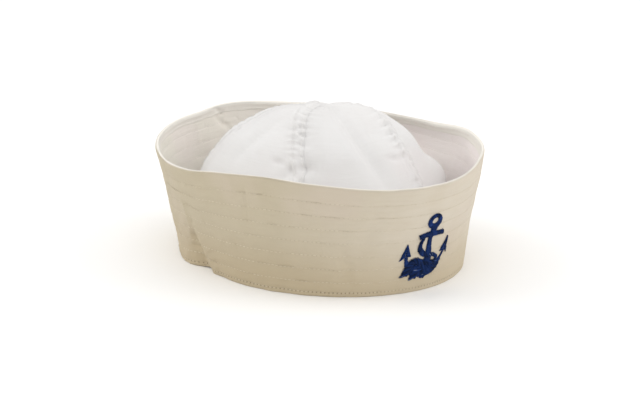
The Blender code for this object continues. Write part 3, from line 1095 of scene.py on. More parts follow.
@dataclass
class ThreadBundle:
    """Many short lengths of thread as one piece.

    centres holds the points of each length, and outs the outward direction at each of them.
    """

    name: str
    centres: Array
    outs: Array
    width: float
    height: float
    finish: Finish
    tones: Array
    sides: int = 6
    end_size: float = 0.35

    def build(self) -> Piece:
        """The piece, with a tone for each length of thread."""
        count, steps = self.centres.shape[:2]
        ahead = np.gradient(self.centres, axis=1)
        ahead /= np.maximum(np.linalg.norm(ahead, axis=2, keepdims=True), 1e-12)
        aside = np.cross(ahead, self.outs)
        aside /= np.maximum(np.linalg.norm(aside, axis=2, keepdims=True), 1e-12)
        up = np.cross(aside, ahead)
        t = np.linspace(-1, 1, steps)
        girth = self.end_size + (1 - self.end_size) * np.sqrt(np.clip(1 - t**6, 0, 1))
        around = np.linspace(0, 2 * math.pi, self.sides, endpoint=False)
        points = (
            self.centres[:, :, None]
            + (0.5 * self.width * girth)[None, :, None, None] * np.cos(around)[:, None] * aside[:, :, None]
            + (0.5 * self.height * girth)[None, :, None, None] * np.sin(around)[:, None] * up[:, :, None]
        )
        start = np.arange(count)[:, None, None] * steps * self.sides
        step = np.arange(steps - 1)[None, :, None] * self.sides
        turn = np.arange(self.sides)[None, None, :]
        here, beside = start + step + turn, start + step + (turn + 1) % self.sides
        faces = np.stack([here, here + self.sides, beside + self.sides, beside], -1).reshape(-1, 4)
        length = np.linalg.norm(np.diff(self.centres, axis=1), axis=2).cumsum(axis=1)
        length = np.concatenate([np.zeros((count, 1)), length], axis=1)
        along = np.repeat(length.ravel(), self.sides)
        across = np.tile(np.arange(self.sides) / self.sides, count * steps)
        places = np.stack([along, across, np.zeros_like(along)], 1)[faces]
        made = piece_of(self.name, points.reshape(-1, 3), faces, self.finish, places)
        tone = made.data.attributes.new(TONE, "FLOAT", "POINT")
        tone.data.foreach_set("value", np.repeat(self.tones, steps * self.sides).astype(np.float32))
        return made


def dress(piece: Piece, nodes: Sequence[str]) -> Piece:
    """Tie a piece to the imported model.

    Args:
        piece: The piece, in place.
        nodes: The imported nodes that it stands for.

    Returns:
        The piece.
    """
    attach(piece, "root")
    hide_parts(*nodes)
    return piece


@dataclass
class Ply:
    """One ply of cloth, gathered row by row."""

    name: str
    lift: Array
    rows: list[Array] = field(default_factory=list)
    ups: list[float] = field(default_factory=list)
    sides: list[float] = field(default_factory=list)

    def add(self, points: Array, up: float, side: Side | float, height: float | None = None) -> None:
        """Keep a row.

        Args:
            points: Its points.
            up: Its length up the cloth.
            side: Which way it looks, or a number where it turns from one side to the other.
            height: Its height over the foot, or None to keep that of its points.
        """
        if height is not None:
            points[:, 2] = height + self.lift
        self.rows.append(points)
        self.ups.append(up)
        self.sides.append(side.value if isinstance(side, Side) else float(side))

    def build(self, length: Array, finish: Finish) -> Piece:
        """Make the ply a tube of cloth that closes both ways.

        Args:
            length: The length round the cap at each column, and once more where it closes.
            finish: Its material.

        Returns:
            The ply.
        """
        places = np.zeros((len(self.rows), len(length), 3))
        places[..., 0] = length
        places[..., 1] = np.array(self.ups)[:, None]
        places[..., 2] = np.array(self.sides)[:, None]
        return ClothGrid(self.name, np.stack(self.rows), places, finish, closed_section=True).build()


@dataclass
class Brim:
    """The turned-up brim: two plies of twill quilted together in rows, with a turned hem at the rim."""

    form: CapForm
    shift: Array
    columns: int = 540
    cloth: CottonTwill = BRIM_TWILL
    lining: CottonTwill = LINING_TWILL
    thread: Thread = CREAM_THREAD
    lining_thread: Thread = LINING_THREAD
    puff: float = 0.00052
    pucker: float = 0.00034
    pucker_reach: float = 0.0030
    inner_share: float = 0.7
    fullness: Unevenness = Unevenness(3, 24, height=0.5)
    drawn: Unevenness = Unevenness(11, 170)
    drawn_finer: Unevenness = Unevenness(12, 320, height=0.5)
    soft: Unevenness = Unevenness(5, 60, cell=0.011, height=0.00030)
    broad: Unevenness = Unevenness(6, 15, cell=0.034, height=0.00060)
    wander: Unevenness = Unevenness(21, 7)
    hem_wave: Unevenness = Unevenness(31, 110, height=0.0004)
    row_wave: Unevenness = Unevenness(45, 40, height=0.00016)
    floor_gap: float = 0.0001
    hem_rise: float = 0.0003
    roll: float = 0.0006
    pressed_azimuth: float = 22.0
    pressed_spread: float = 48.0
    pressed: float = 0.55
    ply: float = 0.0010
    hem_lap: float = 0.0030
    lining_start: float = 0.004
    thread_width: float = 0.00042
    stitch_share: float = 0.70
    stitch_steps: int = 6
    stitch_arch: float = 0.00016
    stitch_sunk: float = 0.00010

    def rows_up(self) -> Array:
        """Heights up the slope at which the outer face has points, closer at each row of stitches."""
        near = np.array([-0.0012, -0.0005, 0.0, 0.0005, 0.0012])
        slope = self.form.slope
        ups = [np.array(BRIM_ROWS)[:, None] + near[None, :]]
        edges = np.array([0.0, *BRIM_ROWS, slope])
        ups.append(edges[1:-1, None] + np.diff(edges)[1:, None] * np.linspace(0.22, 0.86, 6)[None, :])
        ups.append(np.array([[0.0002, 0.0007, slope - 0.0024, slope - 0.0016, slope - 0.0010]]))
        return np.unique(np.clip(np.concatenate([u.ravel() for u in ups]), 0.0002, slope - 0.0010))

    def relief(self, azimuth: Array, share: Array, side: Side) -> Array:
        """Find how far the quilted face stands out from its plain form.

        Args:
            azimuth: Where round the cap.
            share: Where up the wall.
            side: The face that is seen.

        Returns:
            Distances away from the middle of the wall, in metres.
        """
        form = self.form
        azimuth, share = matched(azimuth, share)
        turn = (form.oval_angle(azimuth) / 360) % 1
        up = share * form.slope
        edges = np.array([0.0, *BRIM_ROWS, form.slope])
        k = np.clip(np.searchsorted(edges, up, side="right") - 1, 0, len(edges) - 2)
        t = (up - edges[k]) / (edges[k + 1] - edges[k])
        tight = 1.0 if side is Side.OUTSIDE else self.inner_share
        swell = np.sqrt(np.clip(np.sin(math.pi * np.clip(t, 0, 1)), 0, 1))
        fullness = 0.75 + self.fullness.at(turn, k + 0.5)
        ease = 1 - self.pressed * hump(turned(azimuth, self.pressed_azimuth), self.pressed_spread)
        out = self.puff * tight * fullness * (swell - 0.6) * ease
        nearest = np.min(np.abs(up[..., None] - np.array(BRIM_ROWS)), axis=-1)
        wave = self.drawn.at(turn, k * 3.1) + self.drawn_finer.at(turn, k * 2.3)
        out = out + self.pucker * tight * wave * np.exp(-nearest / self.pucker_reach) * ease
        out = out + self.soft.at(turn, up)
        out = out + self.broad.at(turn, up) * eased(share, 0.02, 0.3)
        metres = math.radians(1) * 0.5 * (form.foot_half_length + form.foot_half_width)
        for fold in FOLDS:
            x = turned(azimuth, fold.azimuth) * metres
            y = (share - fold.share) * form.slope
            run_x = (fold.top_azimuth - fold.azimuth) * metres
            run_y = (fold.top_share - fold.share) * form.slope
            s = np.clip((x * run_x + y * run_y) / math.hypot(run_x, run_y) ** 2, 0, 1)
            wander = fold.half_width * 0.8 * self.wander.at(s, abs(fold.azimuth))
            off = np.hypot(x - s * run_x - wander, y - s * run_y)
            rise = fold.height if side is Side.OUTSIDE else -fold.height
            out = out + rise * hump(off, fold.half_width) * (0.55 + 0.45 * np.sin(math.pi * s))
        return out

    def outer(self, azimuth: Array, share: Array, out: float = 0.0) -> Array:
        """Points of the brim's outer face, or at a distance out from it."""
        form = self.form
        depth = self.relief(azimuth, share, Side.OUTSIDE) + out
        return form.out_from(form.brim_face, azimuth, share, depth) + self.shift

    def inner(self, azimuth: Array, share: Array, out: float = 0.0) -> Array:
        """Points of the brim's inner face, or at a distance out from it towards the crown."""
        form = self.form
        depth = -form.brim_wall - self.relief(azimuth, share, Side.INSIDE) - out
        return form.out_from(form.brim_face, azimuth, share, depth) + self.shift

    def middle(self, azimuth: Array, share: float, depth: float) -> Array:
        """Points inside the wall at a depth from its outer face."""
        return self.outer(azimuth, np.full(azimuth.shape, share), -depth)

    def around(self) -> tuple[Array, Array]:
        """Azimuths of the columns and their lengths round the brim, one more of the second."""
        angle = np.linspace(-180, 180, self.columns + 1)
        return self.form.azimuth_of(angle[:-1]), (angle + 180) / 360 * self.form.girth

    def outer_ply(self) -> Piece:
        """The outer ply, up the outside, over the rim and down to the edge of the hem."""
        form = self.form
        azimuth, length = self.around()
        slope, rim = form.slope, 0.5 * (form.brim_wall + self.hem_rise)
        ply = Ply("brim_outer_ply", form.foot_lift(azimuth))
        ply.add(self.middle(azimuth, 0.0, self.ply), -0.001, Side.OUTSIDE, self.floor_gap)
        ply.add(self.outer(azimuth, 0.0, -0.0004), 0.0, Side.OUTSIDE, self.floor_gap)
        for up in self.rows_up():
            ply.add(self.outer(azimuth, up / slope), up, Side.OUTSIDE)
        for turn in np.linspace(0.12, 0.88, 8) * math.pi:
            share = 1 - (rim - rim * math.sin(turn)) / slope
            depth = rim * (1 - math.cos(turn))
            relief = self.relief(azimuth, share, Side.OUTSIDE) * (1 - turn / math.pi)
            points = form.out_from(form.brim_face, azimuth, share, relief - depth) + self.shift
            ply.add(points, slope + 0.001, eased(turn / math.pi, 0.1, 0.6))
        for down in np.linspace(0.0016, form.hem_width - 0.0004, 9):
            rise = self.hem_rise + self.roll * float(hump(down - 0.0019, 0.0013))
            ply.add(self.inner(azimuth, 1 - down / slope, rise), slope - down, Side.INSIDE)
        wave = self.hem_wave.at(length[:-1] / form.girth, 0.0)
        edge = 1 - (form.hem_width + wave) / slope
        for share, rise in ((edge, 0.4 * self.hem_rise), (edge - 0.0002 / slope, -0.0002)):
            ply.add(self.inner(azimuth, share, rise), slope - form.hem_width, Side.INSIDE)
        for up in self.rows_up()[-4::-2]:
            ply.add(self.middle(azimuth, up / slope, self.ply), up, Side.INSIDE)
        return ply.build(length, self.cloth.material())

    def inner_ply(self) -> Piece:
        """The inner ply, from under the hem to the foot, and turned up inside the crown."""
        form = self.form
        azimuth, length = self.around()
        slope, hidden = form.slope, self.ply + 0.0002
        ply = Ply("brim_inner_ply", form.foot_lift(azimuth))
        for up in self.rows_up()[::-1]:
            if self.lining_start < up < slope - form.hem_width + self.hem_lap:
                ply.add(self.inner(azimuth, up / slope), up, Side.OUTSIDE)
        turn = form.along_at_height(form.turn_height)
        for face, share, out, height in (
            (form.brim_face, form.foot_fold / slope, -form.brim_wall, form.foot_fold),
            (form.crown_face, 0.0, -0.0008, form.foot_fold),
            (form.crown_face, 0.5 * turn, -0.0008, None),
            (form.crown_face, turn, -0.0008, None),
            (form.crown_face, turn, -0.0018, None),
            (form.crown_face, 0.5 * turn, -0.0018, None),
            (form.crown_face, 0.0, -0.0018, self.floor_gap),
        ):
            points = form.out_from(face, azimuth, share, np.full(azimuth.shape, out)) + self.shift
            ply.add(points, 0.001, Side.OUTSIDE, height)
        ply.add(self.middle(azimuth, 0.0, hidden), 0.0, Side.OUTSIDE, self.floor_gap)
        for up in self.rows_up()[3:-6:2]:
            ply.add(self.middle(azimuth, up / slope, hidden), up, Side.OUTSIDE)
        return ply.build(length, self.lining.material())

    def stitches(self, side: Side) -> Piece:
        """Sew the rows of running stitches on one face.

        Args:
            side: The face.

        Returns:
            The stitches as one piece.
        """
        outside = side is Side.OUTSIDE
        face = self.outer if outside else self.inner
        chance = np.random.default_rng(41 if outside else 42)
        heights = np.array(BRIM_ROWS if outside else BRIM_ROWS[1:])[:, None, None]
        number = np.arange(STITCHES_ROUND)[None, :, None]
        t = np.linspace(-0.5, 0.5, self.stitch_steps)
        shake = chance.normal(0, 0.015, (len(heights), STITCHES_ROUND, 1))
        turn = (number + 0.5 + t * self.stitch_share + shake) / STITCHES_ROUND
        row = 4.0 * np.arange(len(heights))[:, None, None]
        drift = self.row_wave.at(turn, row)
        share = (heights + drift) / self.form.slope
        azimuth = self.form.azimuth_of(turn * 360 - 180)
        arch = self.stitch_arch * (1 - (2 * t) ** 4) - self.stitch_sunk
        centres = face(azimuth, share, arch)
        outs = face(azimuth, share, arch + 0.001) - centres
        return ThreadBundle(
            "brim_stitches_outside" if outside else "brim_stitches_inside",
            centres.reshape(-1, self.stitch_steps, 3),
            outs.reshape(-1, self.stitch_steps, 3),
            self.thread_width,
            0.7 * self.thread_width,
            (self.thread if outside else self.lining_thread).material(),
            chance.uniform(0, 1, heights.size * STITCHES_ROUND),
        ).build()

    def build(self) -> list[Piece]:
        """All of the brim's pieces."""
        made = [self.outer_ply(), self.inner_ply(), self.stitches(Side.OUTSIDE), self.stitches(Side.INSIDE)]
        return [dress(piece, ["brim"]) for piece in made]


@dataclass
class Crown:
    """The crown: five gores joined by felled seams that pucker the cloth."""

    form: CapForm
    shift: Array
    cloth: CottonTwill = CROWN_TWILL
    thread: Thread = WHITE_THREAD
    columns: int = 104
    rows: int = 150
    lap_columns: int = 9
    lap_puff: float = 0.0003
    climb_width: float = 0.0030
    pucker: float = 0.0017
    pucker_pitch: float = 0.0072
    pit_width: float = 0.0020
    swell: float = 0.0006
    swell_reach: float = 0.005
    ridge: float = 0.0002
    groove: float = 0.0001
    groove_width: float = 0.0016
    stray: Unevenness = Unevenness(51, 10, cell=0.017, height=0.8)
    strength: Unevenness = Unevenness(52, 10, cell=0.013, height=0.8)
    reach: Unevenness = Unevenness(53, 10, cell=0.012, height=0.0025)
    soft: Unevenness = Unevenness(54, 40, cell=0.030, height=0.0007)
    broad: Unevenness = Unevenness(55, 18, cell=0.045, height=0.0011)
    edge_gap: float = 0.00001
    edge_wall: float = 0.00007
    topstitch: float = 0.0026
    stitch: float = 0.0027
    stitch_reach: float = 0.36
    stitch_steps: int = 6
    stitch_arch: float = 0.00014
    stitch_sunk: float = 0.00008
    thread_width: float = 0.0004
    seam_strength: tuple[float, ...] = (1.0, 1.1, 0.7, 0.6, 0.25)

    def drift(self, seam: int, along: Array) -> Array:
        """Find how far a seam strays round the oval.

        Args:
            seam: The seam's number.
            along: Places along the profile.

        Returns:
            Degrees of the oval's angle.
        """
        table = np.array(SEAM_DRIFTS.get(seam % self.form.gores, ((0.0, 0.0), (1.0, 0.0))))
        return np.interp(along, table[:, 0], table[:, 1])

    def angle_of(self, gore: Array, along: Array) -> Array:
        """Find the oval's angle at a place on the crown.

        Args:
            gore: Place round the crown, in gores from the first seam.
            along: Place along the profile.

        Returns:
            The angle in degrees.
        """
        gore, along = np.broadcast_arrays(gore, along)
        k = np.floor(gore).astype(int)
        t = gore - k
        shift = np.zeros(gore.shape)
        for seam in range(self.form.gores):
            weight = np.where(k % self.form.gores == seam, 1 - t, 0)
            weight = weight + np.where((k + 1) % self.form.gores == seam, t, 0)
            shift = shift + weight * self.drift(seam, along)
        return self.form.first_seam + 360 / self.form.gores * gore + shift

    def lengths(self, along: Array) -> tuple[Array, Array]:
        """Measure the crown's cloth.

        Args:
            along: Places along the profile.

        Returns:
            Length up the crown and the width of one gore, in metres.
        """
        fine = np.linspace(0, 1, 500)
        narrowed, raised = self.form.profile(fine)
        mean = 0.5 * (self.form.foot_half_length + self.form.foot_half_width)
        run = np.hypot(np.diff(narrowed * mean), np.diff(raised * self.form.crown_height))
        length = np.concatenate([[0], np.cumsum(run)])
        width = 2 * math.pi * mean * self.form.profile(along)[0] / self.form.gores
        return np.interp(along, fine, length), width

    def relief(self, gore: Array, along: Array) -> Array:
        """Find how far the cloth stands out where seams, puckers and tucks shape it.

        Args:
            gore: Place round the crown, in gores from the first seam.
            along: Place along the profile.

        Returns:
            Distances outwards in metres.
        """
        gore, along = matched(gore, along)
        length, width = self.lengths(along)
        seam = np.round(gore)
        off = (gore - seam) * width
        aside = np.abs(off)
        half = np.minimum(0.5 * self.form.seam_lap, 0.16 * width)
        turn = (gore / self.form.gores) % 1
        body = eased(length, 0.012, 0.04) * eased(width, 0.012, 0.045)
        which = seam % self.form.gores
        side = np.where(off > 0, 0.37, 0.0)
        stray = self.stray.at((2 * which + (off > 0)) / 10, length)
        phase = length / self.pucker_pitch + which * 0.31 + side + stray
        wave = np.sin(2 * math.pi * phase)
        bite = np.clip(wave, 0, 1) ** 1.4
        strong = np.clip(0.75 + self.strength.at(turn, length), 0.15, 1.4)
        reach = 0.0045 + self.reach.at(turn, length)
        beyond = np.clip(aside - 0.7 * half, 0, None)
        pit = 0.75 * hump(aside - 0.6 * half, self.pit_width) + 0.45 * hump(beyond, reach)
        seamed = body * np.array(self.seam_strength)[which.astype(int)]
        seamed = seamed * (1 - 0.65 * (which == 1) * eased(off, -0.001, 0.0025))
        out = -self.pucker * strong * bite * pit * seamed
        out = out + self.swell * np.clip(-wave, 0, 1) * hump(beyond, self.swell_reach) * seamed
        out = out + self.ridge * hump(aside, 0.6 * half) * seamed
        out = out - self.groove * hump(aside - half, self.groove_width) * seamed
        soft = eased(aside, 0.0, 0.012)
        out = out + self.soft.at(turn, length) * body * (0.3 + 0.7 * soft)
        out = out + self.broad.at(turn, length) * eased(length, 0.05, 0.09)
        azimuth = self.form.azimuth_of(self.angle_of(gore, along))
        for pinch in PINCHES:
            across = turned(azimuth, pinch.azimuth)
            drop = along - pinch.along - pinch.slope * across
            out = out - pinch.depth * hump(across, pinch.spread) * hump(drop, pinch.tall)
        return out

    def face(self, gore: Array, along: Array, out: Array) -> Array:
        """Find points at a distance out from the crown's inner face.

        Args:
            gore: Place round the crown, in gores from the first seam.
            along: Place along the profile.
            out: Distance outwards in metres.

        Returns:
            The points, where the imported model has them.
        """
        gore, along = matched(gore, along)
        azimuth = self.form.azimuth_of(self.angle_of(gore, along))
        depth = np.asarray(out) + self.relief(gore, along)
        return self.form.out_from(self.form.crown_face, azimuth, along, depth) + self.shift

    def gore(self, number: int, finish: Finish) -> Piece:
        """Build one gore, whose far edge laps over the next one.

        Args:
            number: Its number, from 0 at the first seam.
            finish: Its material.

        Returns:
            The gore as one closed piece of cloth.
        """
        form = self.form
        along = np.linspace(0, form.along_at_radius(form.tip_radius), self.rows)[:, None]
        length, width = self.lengths(along)
        half = np.minimum(0.5 * form.seam_lap / width, 0.14)
        step = np.minimum(self.climb_width / width, 0.10)
        gap = np.minimum(form.gap / width, 0.04)
        t = np.linspace(0, 1, self.columns)
        t = t - 0.6 * np.sin(2 * math.pi * t) / (2 * math.pi)
        left, right = half, 1 - half - gap - step
        edge = np.linspace(0, 1, self.lap_columns)
        inside = left + (right - left) * t
        lap = (1 - half) + 2 * half * edge
        across = number + np.hstack([-half, np.zeros_like(half), inside, 1 - half - gap, lap])
        climb = form.cloth + form.gap
        lapped = climb + (self.edge_gap - form.gap) * edge
        under = np.hstack([np.zeros(self.columns + 2), [0.85 * climb], lapped])
        under = under * eased(width, 0.001, 0.010)
        over = under + form.cloth
        thinned = (form.cloth - self.edge_wall) * eased(edge, 0.0, 1.0)
        over[:, -self.lap_columns :] += self.lap_puff * np.sin(math.pi * edge) - thinned
        outer, inner = self.face(across, along, over), self.face(across, along, under)
        place = np.zeros((2, *across.shape, 3))
        place[..., 0] = (across - number) * width
        place[..., 1] = length
        place[1, ..., 2] = Side.INSIDE.value
        points = np.concatenate([outer, inner[:, ::-1]], axis=1)
        foot, tip = (0.5 * (row + row[::-1]) for row in (points[0], points[-1]))
        places = np.concatenate([place[0], place[1][:, ::-1]], axis=1)
        places = np.concatenate([places[:1], places, places[-1:]])
        places = np.concatenate([places, places[:, :1]], axis=1)
        grid = np.concatenate([foot[None], points, tip[None]])
        return ClothGrid(f"crown_gore_cloth_{number + 1}", grid, places, finish).build()

    def topstitching(self) -> Piece:
        """Two rows of stitches along each felled seam."""
        form = self.form
        chance = np.random.default_rng(61)
        centres, outs = [], []
        fine = np.linspace(0.01, form.along_at_radius(0.006), 900)
        length, width = self.lengths(fine)
        count = int((length[-1] - length[0]) / self.stitch)
        t = np.linspace(-self.stitch_reach, self.stitch_reach, self.stitch_steps)
        at = length[0] + (np.arange(count)[:, None] + 0.5 + t[None, :]) * self.stitch
        along, wide = np.interp(at, length, fine), np.interp(at, length, width)
        arch = self.stitch_arch * (1 - (t / self.stitch_reach) ** 4) - self.stitch_sunk
        raised = 2 * form.cloth + form.gap + 0.0002 + arch
        for seam in range(1, form.gores + 1):
            for side in (-1, 1):
                aside = side * np.minimum(self.topstitch, 0.10 * wide)
                gore = seam + (aside + chance.normal(0, 0.00007, (count, 1))) / wide
                centres.append(self.face(gore, along, raised))
                outs.append(self.face(gore, along, raised + 0.001) - centres[-1])
        return ThreadBundle(
            "crown_topstitching",
            np.concatenate(centres),
            np.concatenate(outs),
            self.thread_width,
            0.7 * self.thread_width,
            self.thread.material(),
            chance.uniform(0, 1, count * len(centres)),
        ).build()

    def build(self) -> list[Piece]:
        """All of the crown's pieces."""
        finish = self.cloth.material()
        nodes = [f"crown_gore_{number + 1}" for number in range(self.form.gores)]
        made = [dress(self.gore(k, finish), [node]) for k, node in enumerate(nodes)]
        return made + [dress(self.topstitching(), nodes)]


@dataclass
class AnchorEmblem:
    """The anchor with its rope, worked in navy satin stitch through the brim's outer ply."""

    brim: Brim
    thread: Thread = NAVY_THREAD
    height: float = 0.0490
    azimuth: float = -4.5
    foot: float = 0.0078
    relief: float = 0.0009
    pitch: float = 0.00036
    thread_width: float = 0.00046
    thread_height: float = 0.00042
    steps: int = 8
    rope_pitch: float = 0.0026
    # Share of the rope's threads with painted glints, and their tone.
    glint_share: float = 0.08
    glint_tone: float = 1.6
    rope_slant: float = 0.8
    satin_slant: float = 0.12
    scatter: float = 0.07
    pad_width: float = 0.86
    sunk: float = 0.0001

    def on_brim(self, plan: Array, out: Array) -> Array:
        """Map the drawing onto the brim.

        Args:
            plan: Places in the drawing, as shares of its height.
            out: Heights over the cloth in metres.

        Returns:
            The points.
        """
        form = self.brim.form
        share = (self.foot + plan[..., 1] * self.height) / form.slope
        middle = form.brim_face(np.full(share.shape, self.azimuth), share)
        radius = np.linalg.norm(middle[..., :2], axis=-1)
        azimuth = self.azimuth + np.degrees(plan[..., 0] * self.height / radius)
        return self.brim.outer(azimuth, share, out)

    def line_band(self, points: Sequence[Sequence[float]], layer: float, twisted: bool = False) -> Band:
        """Make a pen line a band of stitches.

        Args:
            points: The line's places and widths.
            layer: How high it lies over the cloth, in metres.
            twisted: Whether its threads slant, as a rope's strands do.

        Returns:
            The band.
        """
        line = smooth_line(np.array(points, float), 24)
        ahead = np.gradient(line[:, :2], axis=0)
        ahead /= np.linalg.norm(ahead, axis=1, keepdims=True)
        half = 0.5 * line[:, 2:] * np.stack([-ahead[:, 1], ahead[:, 0]], axis=1)
        return Band(line[:, :2] + half, line[:, :2] - half, layer, twisted)

    def bands(self) -> list[Band]:
        """The stitched bands, lowest first."""
        turn = np.linspace(0, 2 * math.pi, 25)
        wide = RING.width * (1 + 0.18 * (1 - np.cos(turn)))
        across, tall = np.sin(turn) * RING.across / 2, np.cos(turn) * RING.tall / 2
        ring = np.stack([RING.x + across + 0.12 * tall, RING.y + tall, wide], 1)
        bands = [self.line_band(ARMS, 0.0)]
        t = np.linspace(0, 1, 30)[:, None]
        for tip, first, notch, second in (np.array(fluke, float) for fluke in FLUKES):
            for barb in (first, second):
                bands.append(Band(tip + (barb - tip) * t, tip + (notch - tip) * t, 0.00012, False))
        bands += [self.line_band(SHANK, 0.00024), self.line_band(ring, 0.00030)]
        bands += [self.line_band(STOCK, 0.00042), self.line_band(ROPE, 0.00048, True)]
        for number, strand in enumerate(COIL_STRANDS):
            bands.append(self.line_band(strand, 0.00034 - 0.00008 * number, True))
        return bands

    def spaced(self, band: Band) -> tuple[Array, Array, Array]:
        """Space threads evenly along a band.

        Args:
            band: The band.

        Returns:
            Each thread's place along the band, its middle and half its width, in the drawing.
        """
        line = 0.5 * (band.left + band.right)
        run = np.concatenate([[0], np.cumsum(np.hypot(*np.diff(line, axis=0).T))])
        at = np.linspace(0, run[-1], max(int(run[-1] * self.height / self.pitch), 6))
        left, right = (
            np.stack([np.interp(at, run, edge[:, n]) for n in range(2)], axis=1)
            for edge in (band.left, band.right)
        )
        return at, 0.5 * (left + right), 0.5 * (right - left)

    def padding(self, pads: Sequence[Array], finish: Finish) -> Piece:
        """Lay the padding under the threads.

        Args:
            pads: One grid of points for each band.
            finish: Its material.

        Returns:
            The padding as one piece.
        """
        faces, start = [], 0
        for pad in pads:
            row, column = cells(len(pad) - 1, self.steps - 1)
            corner = start + row * self.steps + column
            faces.append(np.stack([corner, corner + self.steps, corner + self.steps + 1, corner + 1], 1))
            start += len(pad) * self.steps
        points, faces = np.concatenate(pads).reshape(-1, 3), np.concatenate(faces)
        return piece_of("anchor_padding", points, faces, finish, np.zeros((len(faces), 4, 3)))

    def threads(self) -> tuple[Piece, Piece]:
        """The satin threads, side by side across each band, and the padding under them."""
        chance = np.random.default_rng(71)
        finish = self.thread.material()
        centres, outs, tones, pads = [], [], [], []
        t = np.linspace(-1, 1, self.steps)
        dome = np.sqrt(np.clip(1 - 0.9 * t**2, 0, 1))
        rounded = eased(1.0 - np.abs(t), -0.01, 0.12)
        for number, band in enumerate(self.bands()):
            at, line, half = self.spaced(band)
            count, share = len(at), at / at[-1]
            ahead = np.gradient(line, axis=0)
            ahead /= np.linalg.norm(ahead, axis=1, keepdims=True)
            reach = 1 + self.scatter * chance.normal(size=(count, 1))
            slant = self.rope_slant if band.twisted else self.satin_slant
            lean = slant * np.linalg.norm(half, axis=1, keepdims=True) * ahead
            plan = line[:, None] + (reach * (half + lean))[:, None] * t[None, :, None]
            strand = np.ones(count)
            if band.twisted:
                strand = np.abs(np.sin(math.pi * at * self.height / self.rope_pitch))
            out = band.layer + self.relief * 0.75 * dome * (0.5 + 0.5 * strand[:, None])
            out = out * rounded - self.sunk
            centres.append(self.on_brim(plan, out))
            outs.append(self.on_brim(plan, out + 0.001) - centres[-1])
            # Between the rope's strands the tone drops: painted shade in the grooves, beside the real dip
            # in relief.
            base = 0.42 + 0.45 * Unevenness(73 + number, 12).at(share * 0.9, 1.5) - 0.5 * (1 - strand)
            # A few threads near the rope's end get painted glints.
            worn = (chance.uniform(0, 1, count) < self.glint_share) & (share > 0.6) & band.twisted
            tone = np.clip(base + chance.uniform(-0.25, 0.25, count), 0, 1)
            tones.append(np.where(worn, self.glint_tone, tone))
            under = line[:, None] + self.pad_width * half[:, None] * t[None, :, None]
            pads.append(self.on_brim(under, band.layer + self.relief * 0.5 * dome))
        thread = ThreadBundle(
            "anchor_satin_threads",
            np.concatenate(centres),
            np.concatenate(outs),
            self.thread_width,
            self.thread_height,
            finish,
            np.concatenate(tones),
        ).build()
        return thread, self.padding(pads, finish)

    def build(self) -> list[Piece]:
        """All of the emblem's pieces."""
        return [dress(piece, ["anchor_emblem"]) for piece in self.threads()]


LAMPS = rows_of(
    Lamp,
    ("key_lamp", 50, 38, 5.6, 1.2, (1.0, 0.99, 0.98)),
    ("fill_lamp", -140, 42, 6.5, 1.2, (1.0, 1.0, 1.0)),
    ("top_lamp", -60, 80, 2, 1.4, (1.0, 1.0, 1.0)),
)


def away(azimuth: float, elevation: float) -> Vector:
    """The direction from the cap to a place, from its azimuth and elevation in degrees."""
    e = math.radians(elevation)
    return Vector(direction(np.array(azimuth))) * math.cos(e) + Vector((0, 0, math.sin(e)))


def hang(data: bpy.types.ID, back: Vector, place: Vector) -> Piece:
    """Put a lamp or a camera in place.

    Args:
        data: The lamp or camera.
        back: The direction opposite to the one that it looks in.
        place: Where it is.

    Returns:
        Its object.
    """
    made = bpy.data.objects.new(data.name, data)
    made.location = place
    made.rotation_mode = "QUATERNION"
    made.rotation_quaternion = back.to_track_quat("Z", "Y")
    bpy.context.scene.collection.objects.link(made)
    return made


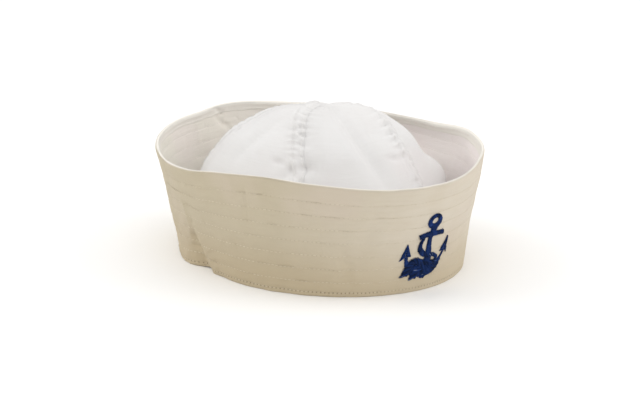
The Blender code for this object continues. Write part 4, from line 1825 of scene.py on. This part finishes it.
@dataclass
class Studio:
    """A pale floor, soft light from above and the right, and the photograph's camera."""

    shift: Array
    distance: float = 1.5
    azimuth: float = -42.0
    elevation: float = 16.0
    lens: float = 124.8
    sensor: float = 36.0
    aim_height: float = 0.0364
    aim_right: float = 0.0002
    floor_size: float = 8.0
    lamp_distance: float = 1.6
    sky_colour: Colour = (1.0, 0.995, 0.985)
    sky_strength: float = 0.86

    def floor(self) -> None:
        """A large plain floor."""
        half = self.floor_size / 2
        points = np.array([(-half, -half, 0), (half, -half, 0), (half, half, 0), (-half, half, 0)], float)
        face = np.array([[0, 1, 2, 3]])
        piece_of("studio_floor", points, face, PaleFloor().material(), np.zeros((1, 4, 3)))

    def light(self, lamp: Lamp) -> None:
        """A square lamp that faces the cap."""
        data = bpy.data.lights.new(lamp.name, "AREA")
        data.energy, data.size, data.color = lamp.power, lamp.size, lamp.colour
        back = away(lamp.azimuth, lamp.elevation)
        hang(data, back, back * self.lamp_distance)

    def sky(self) -> None:
        """Even white light from all round."""
        world = bpy.data.worlds.new("studio_world")
        world.use_nodes = True
        background = world.node_tree.nodes["Background"]
        background.inputs["Color"].default_value = (*self.sky_colour, 1)
        background.inputs["Strength"].default_value = self.sky_strength
        bpy.context.scene.world = world

    def camera(self) -> None:
        """The camera, at the photograph's angle and distance."""
        data = bpy.data.cameras.new("photo_camera")
        data.lens, data.sensor_width = self.lens, self.sensor
        data.clip_start, data.clip_end = 0.05, 50
        level, back = away(self.azimuth, 0), away(self.azimuth, self.elevation)
        right = Vector((-level.y, level.x, 0))
        aim = Vector(self.shift) + right * self.aim_right + Vector((0, 0, self.aim_height))
        bpy.context.scene.camera = hang(data, back, aim + back * self.distance)

    def build(self) -> None:
        """Set the whole studio up."""
        self.floor()
        self.sky()
        for lamp in LAMPS:
            self.light(lamp)
        self.camera()
        bpy.context.scene.view_settings.view_transform = "Standard"


def packed_shift(form: CapForm) -> Array:
    """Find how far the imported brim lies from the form's own middle.

    Args:
        form: The form.

    Returns:
        The distance along each axis, with none upwards.
    """
    azimuth = form.azimuth_of(np.linspace(-180, 180, 721))[:, None]
    points = form.brim_face(azimuth, np.linspace(0, 1, 41)[None, :])
    low, high = points.reshape(-1, 3).min(axis=0), points.reshape(-1, 3).max(axis=0)
    packed_low, packed_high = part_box("brim")
    shift = (np.array(packed_low) + np.array(packed_high) - low - high) / 2
    shift[2] = 0
    return shift


def report(pieces: Sequence[Piece]) -> None:
    """Log each piece with its count of faces."""
    for piece in pieces:
        log.info("%s: %d faces", piece.name, len(piece.data.polygons))


def main() -> None:
    """Build the cap and its studio."""
    logging.basicConfig(level=logging.INFO, format="%(message)s")
    shift = packed_shift(FORM)
    log.info("moved by %s m to match the packed brim", shift)
    brim = Brim(FORM, shift)
    report(brim.build())
    report(Crown(FORM, shift).build())
    report(AnchorEmblem(brim).build())
    Studio(shift).build()


if __name__ == "__main__":
    main()
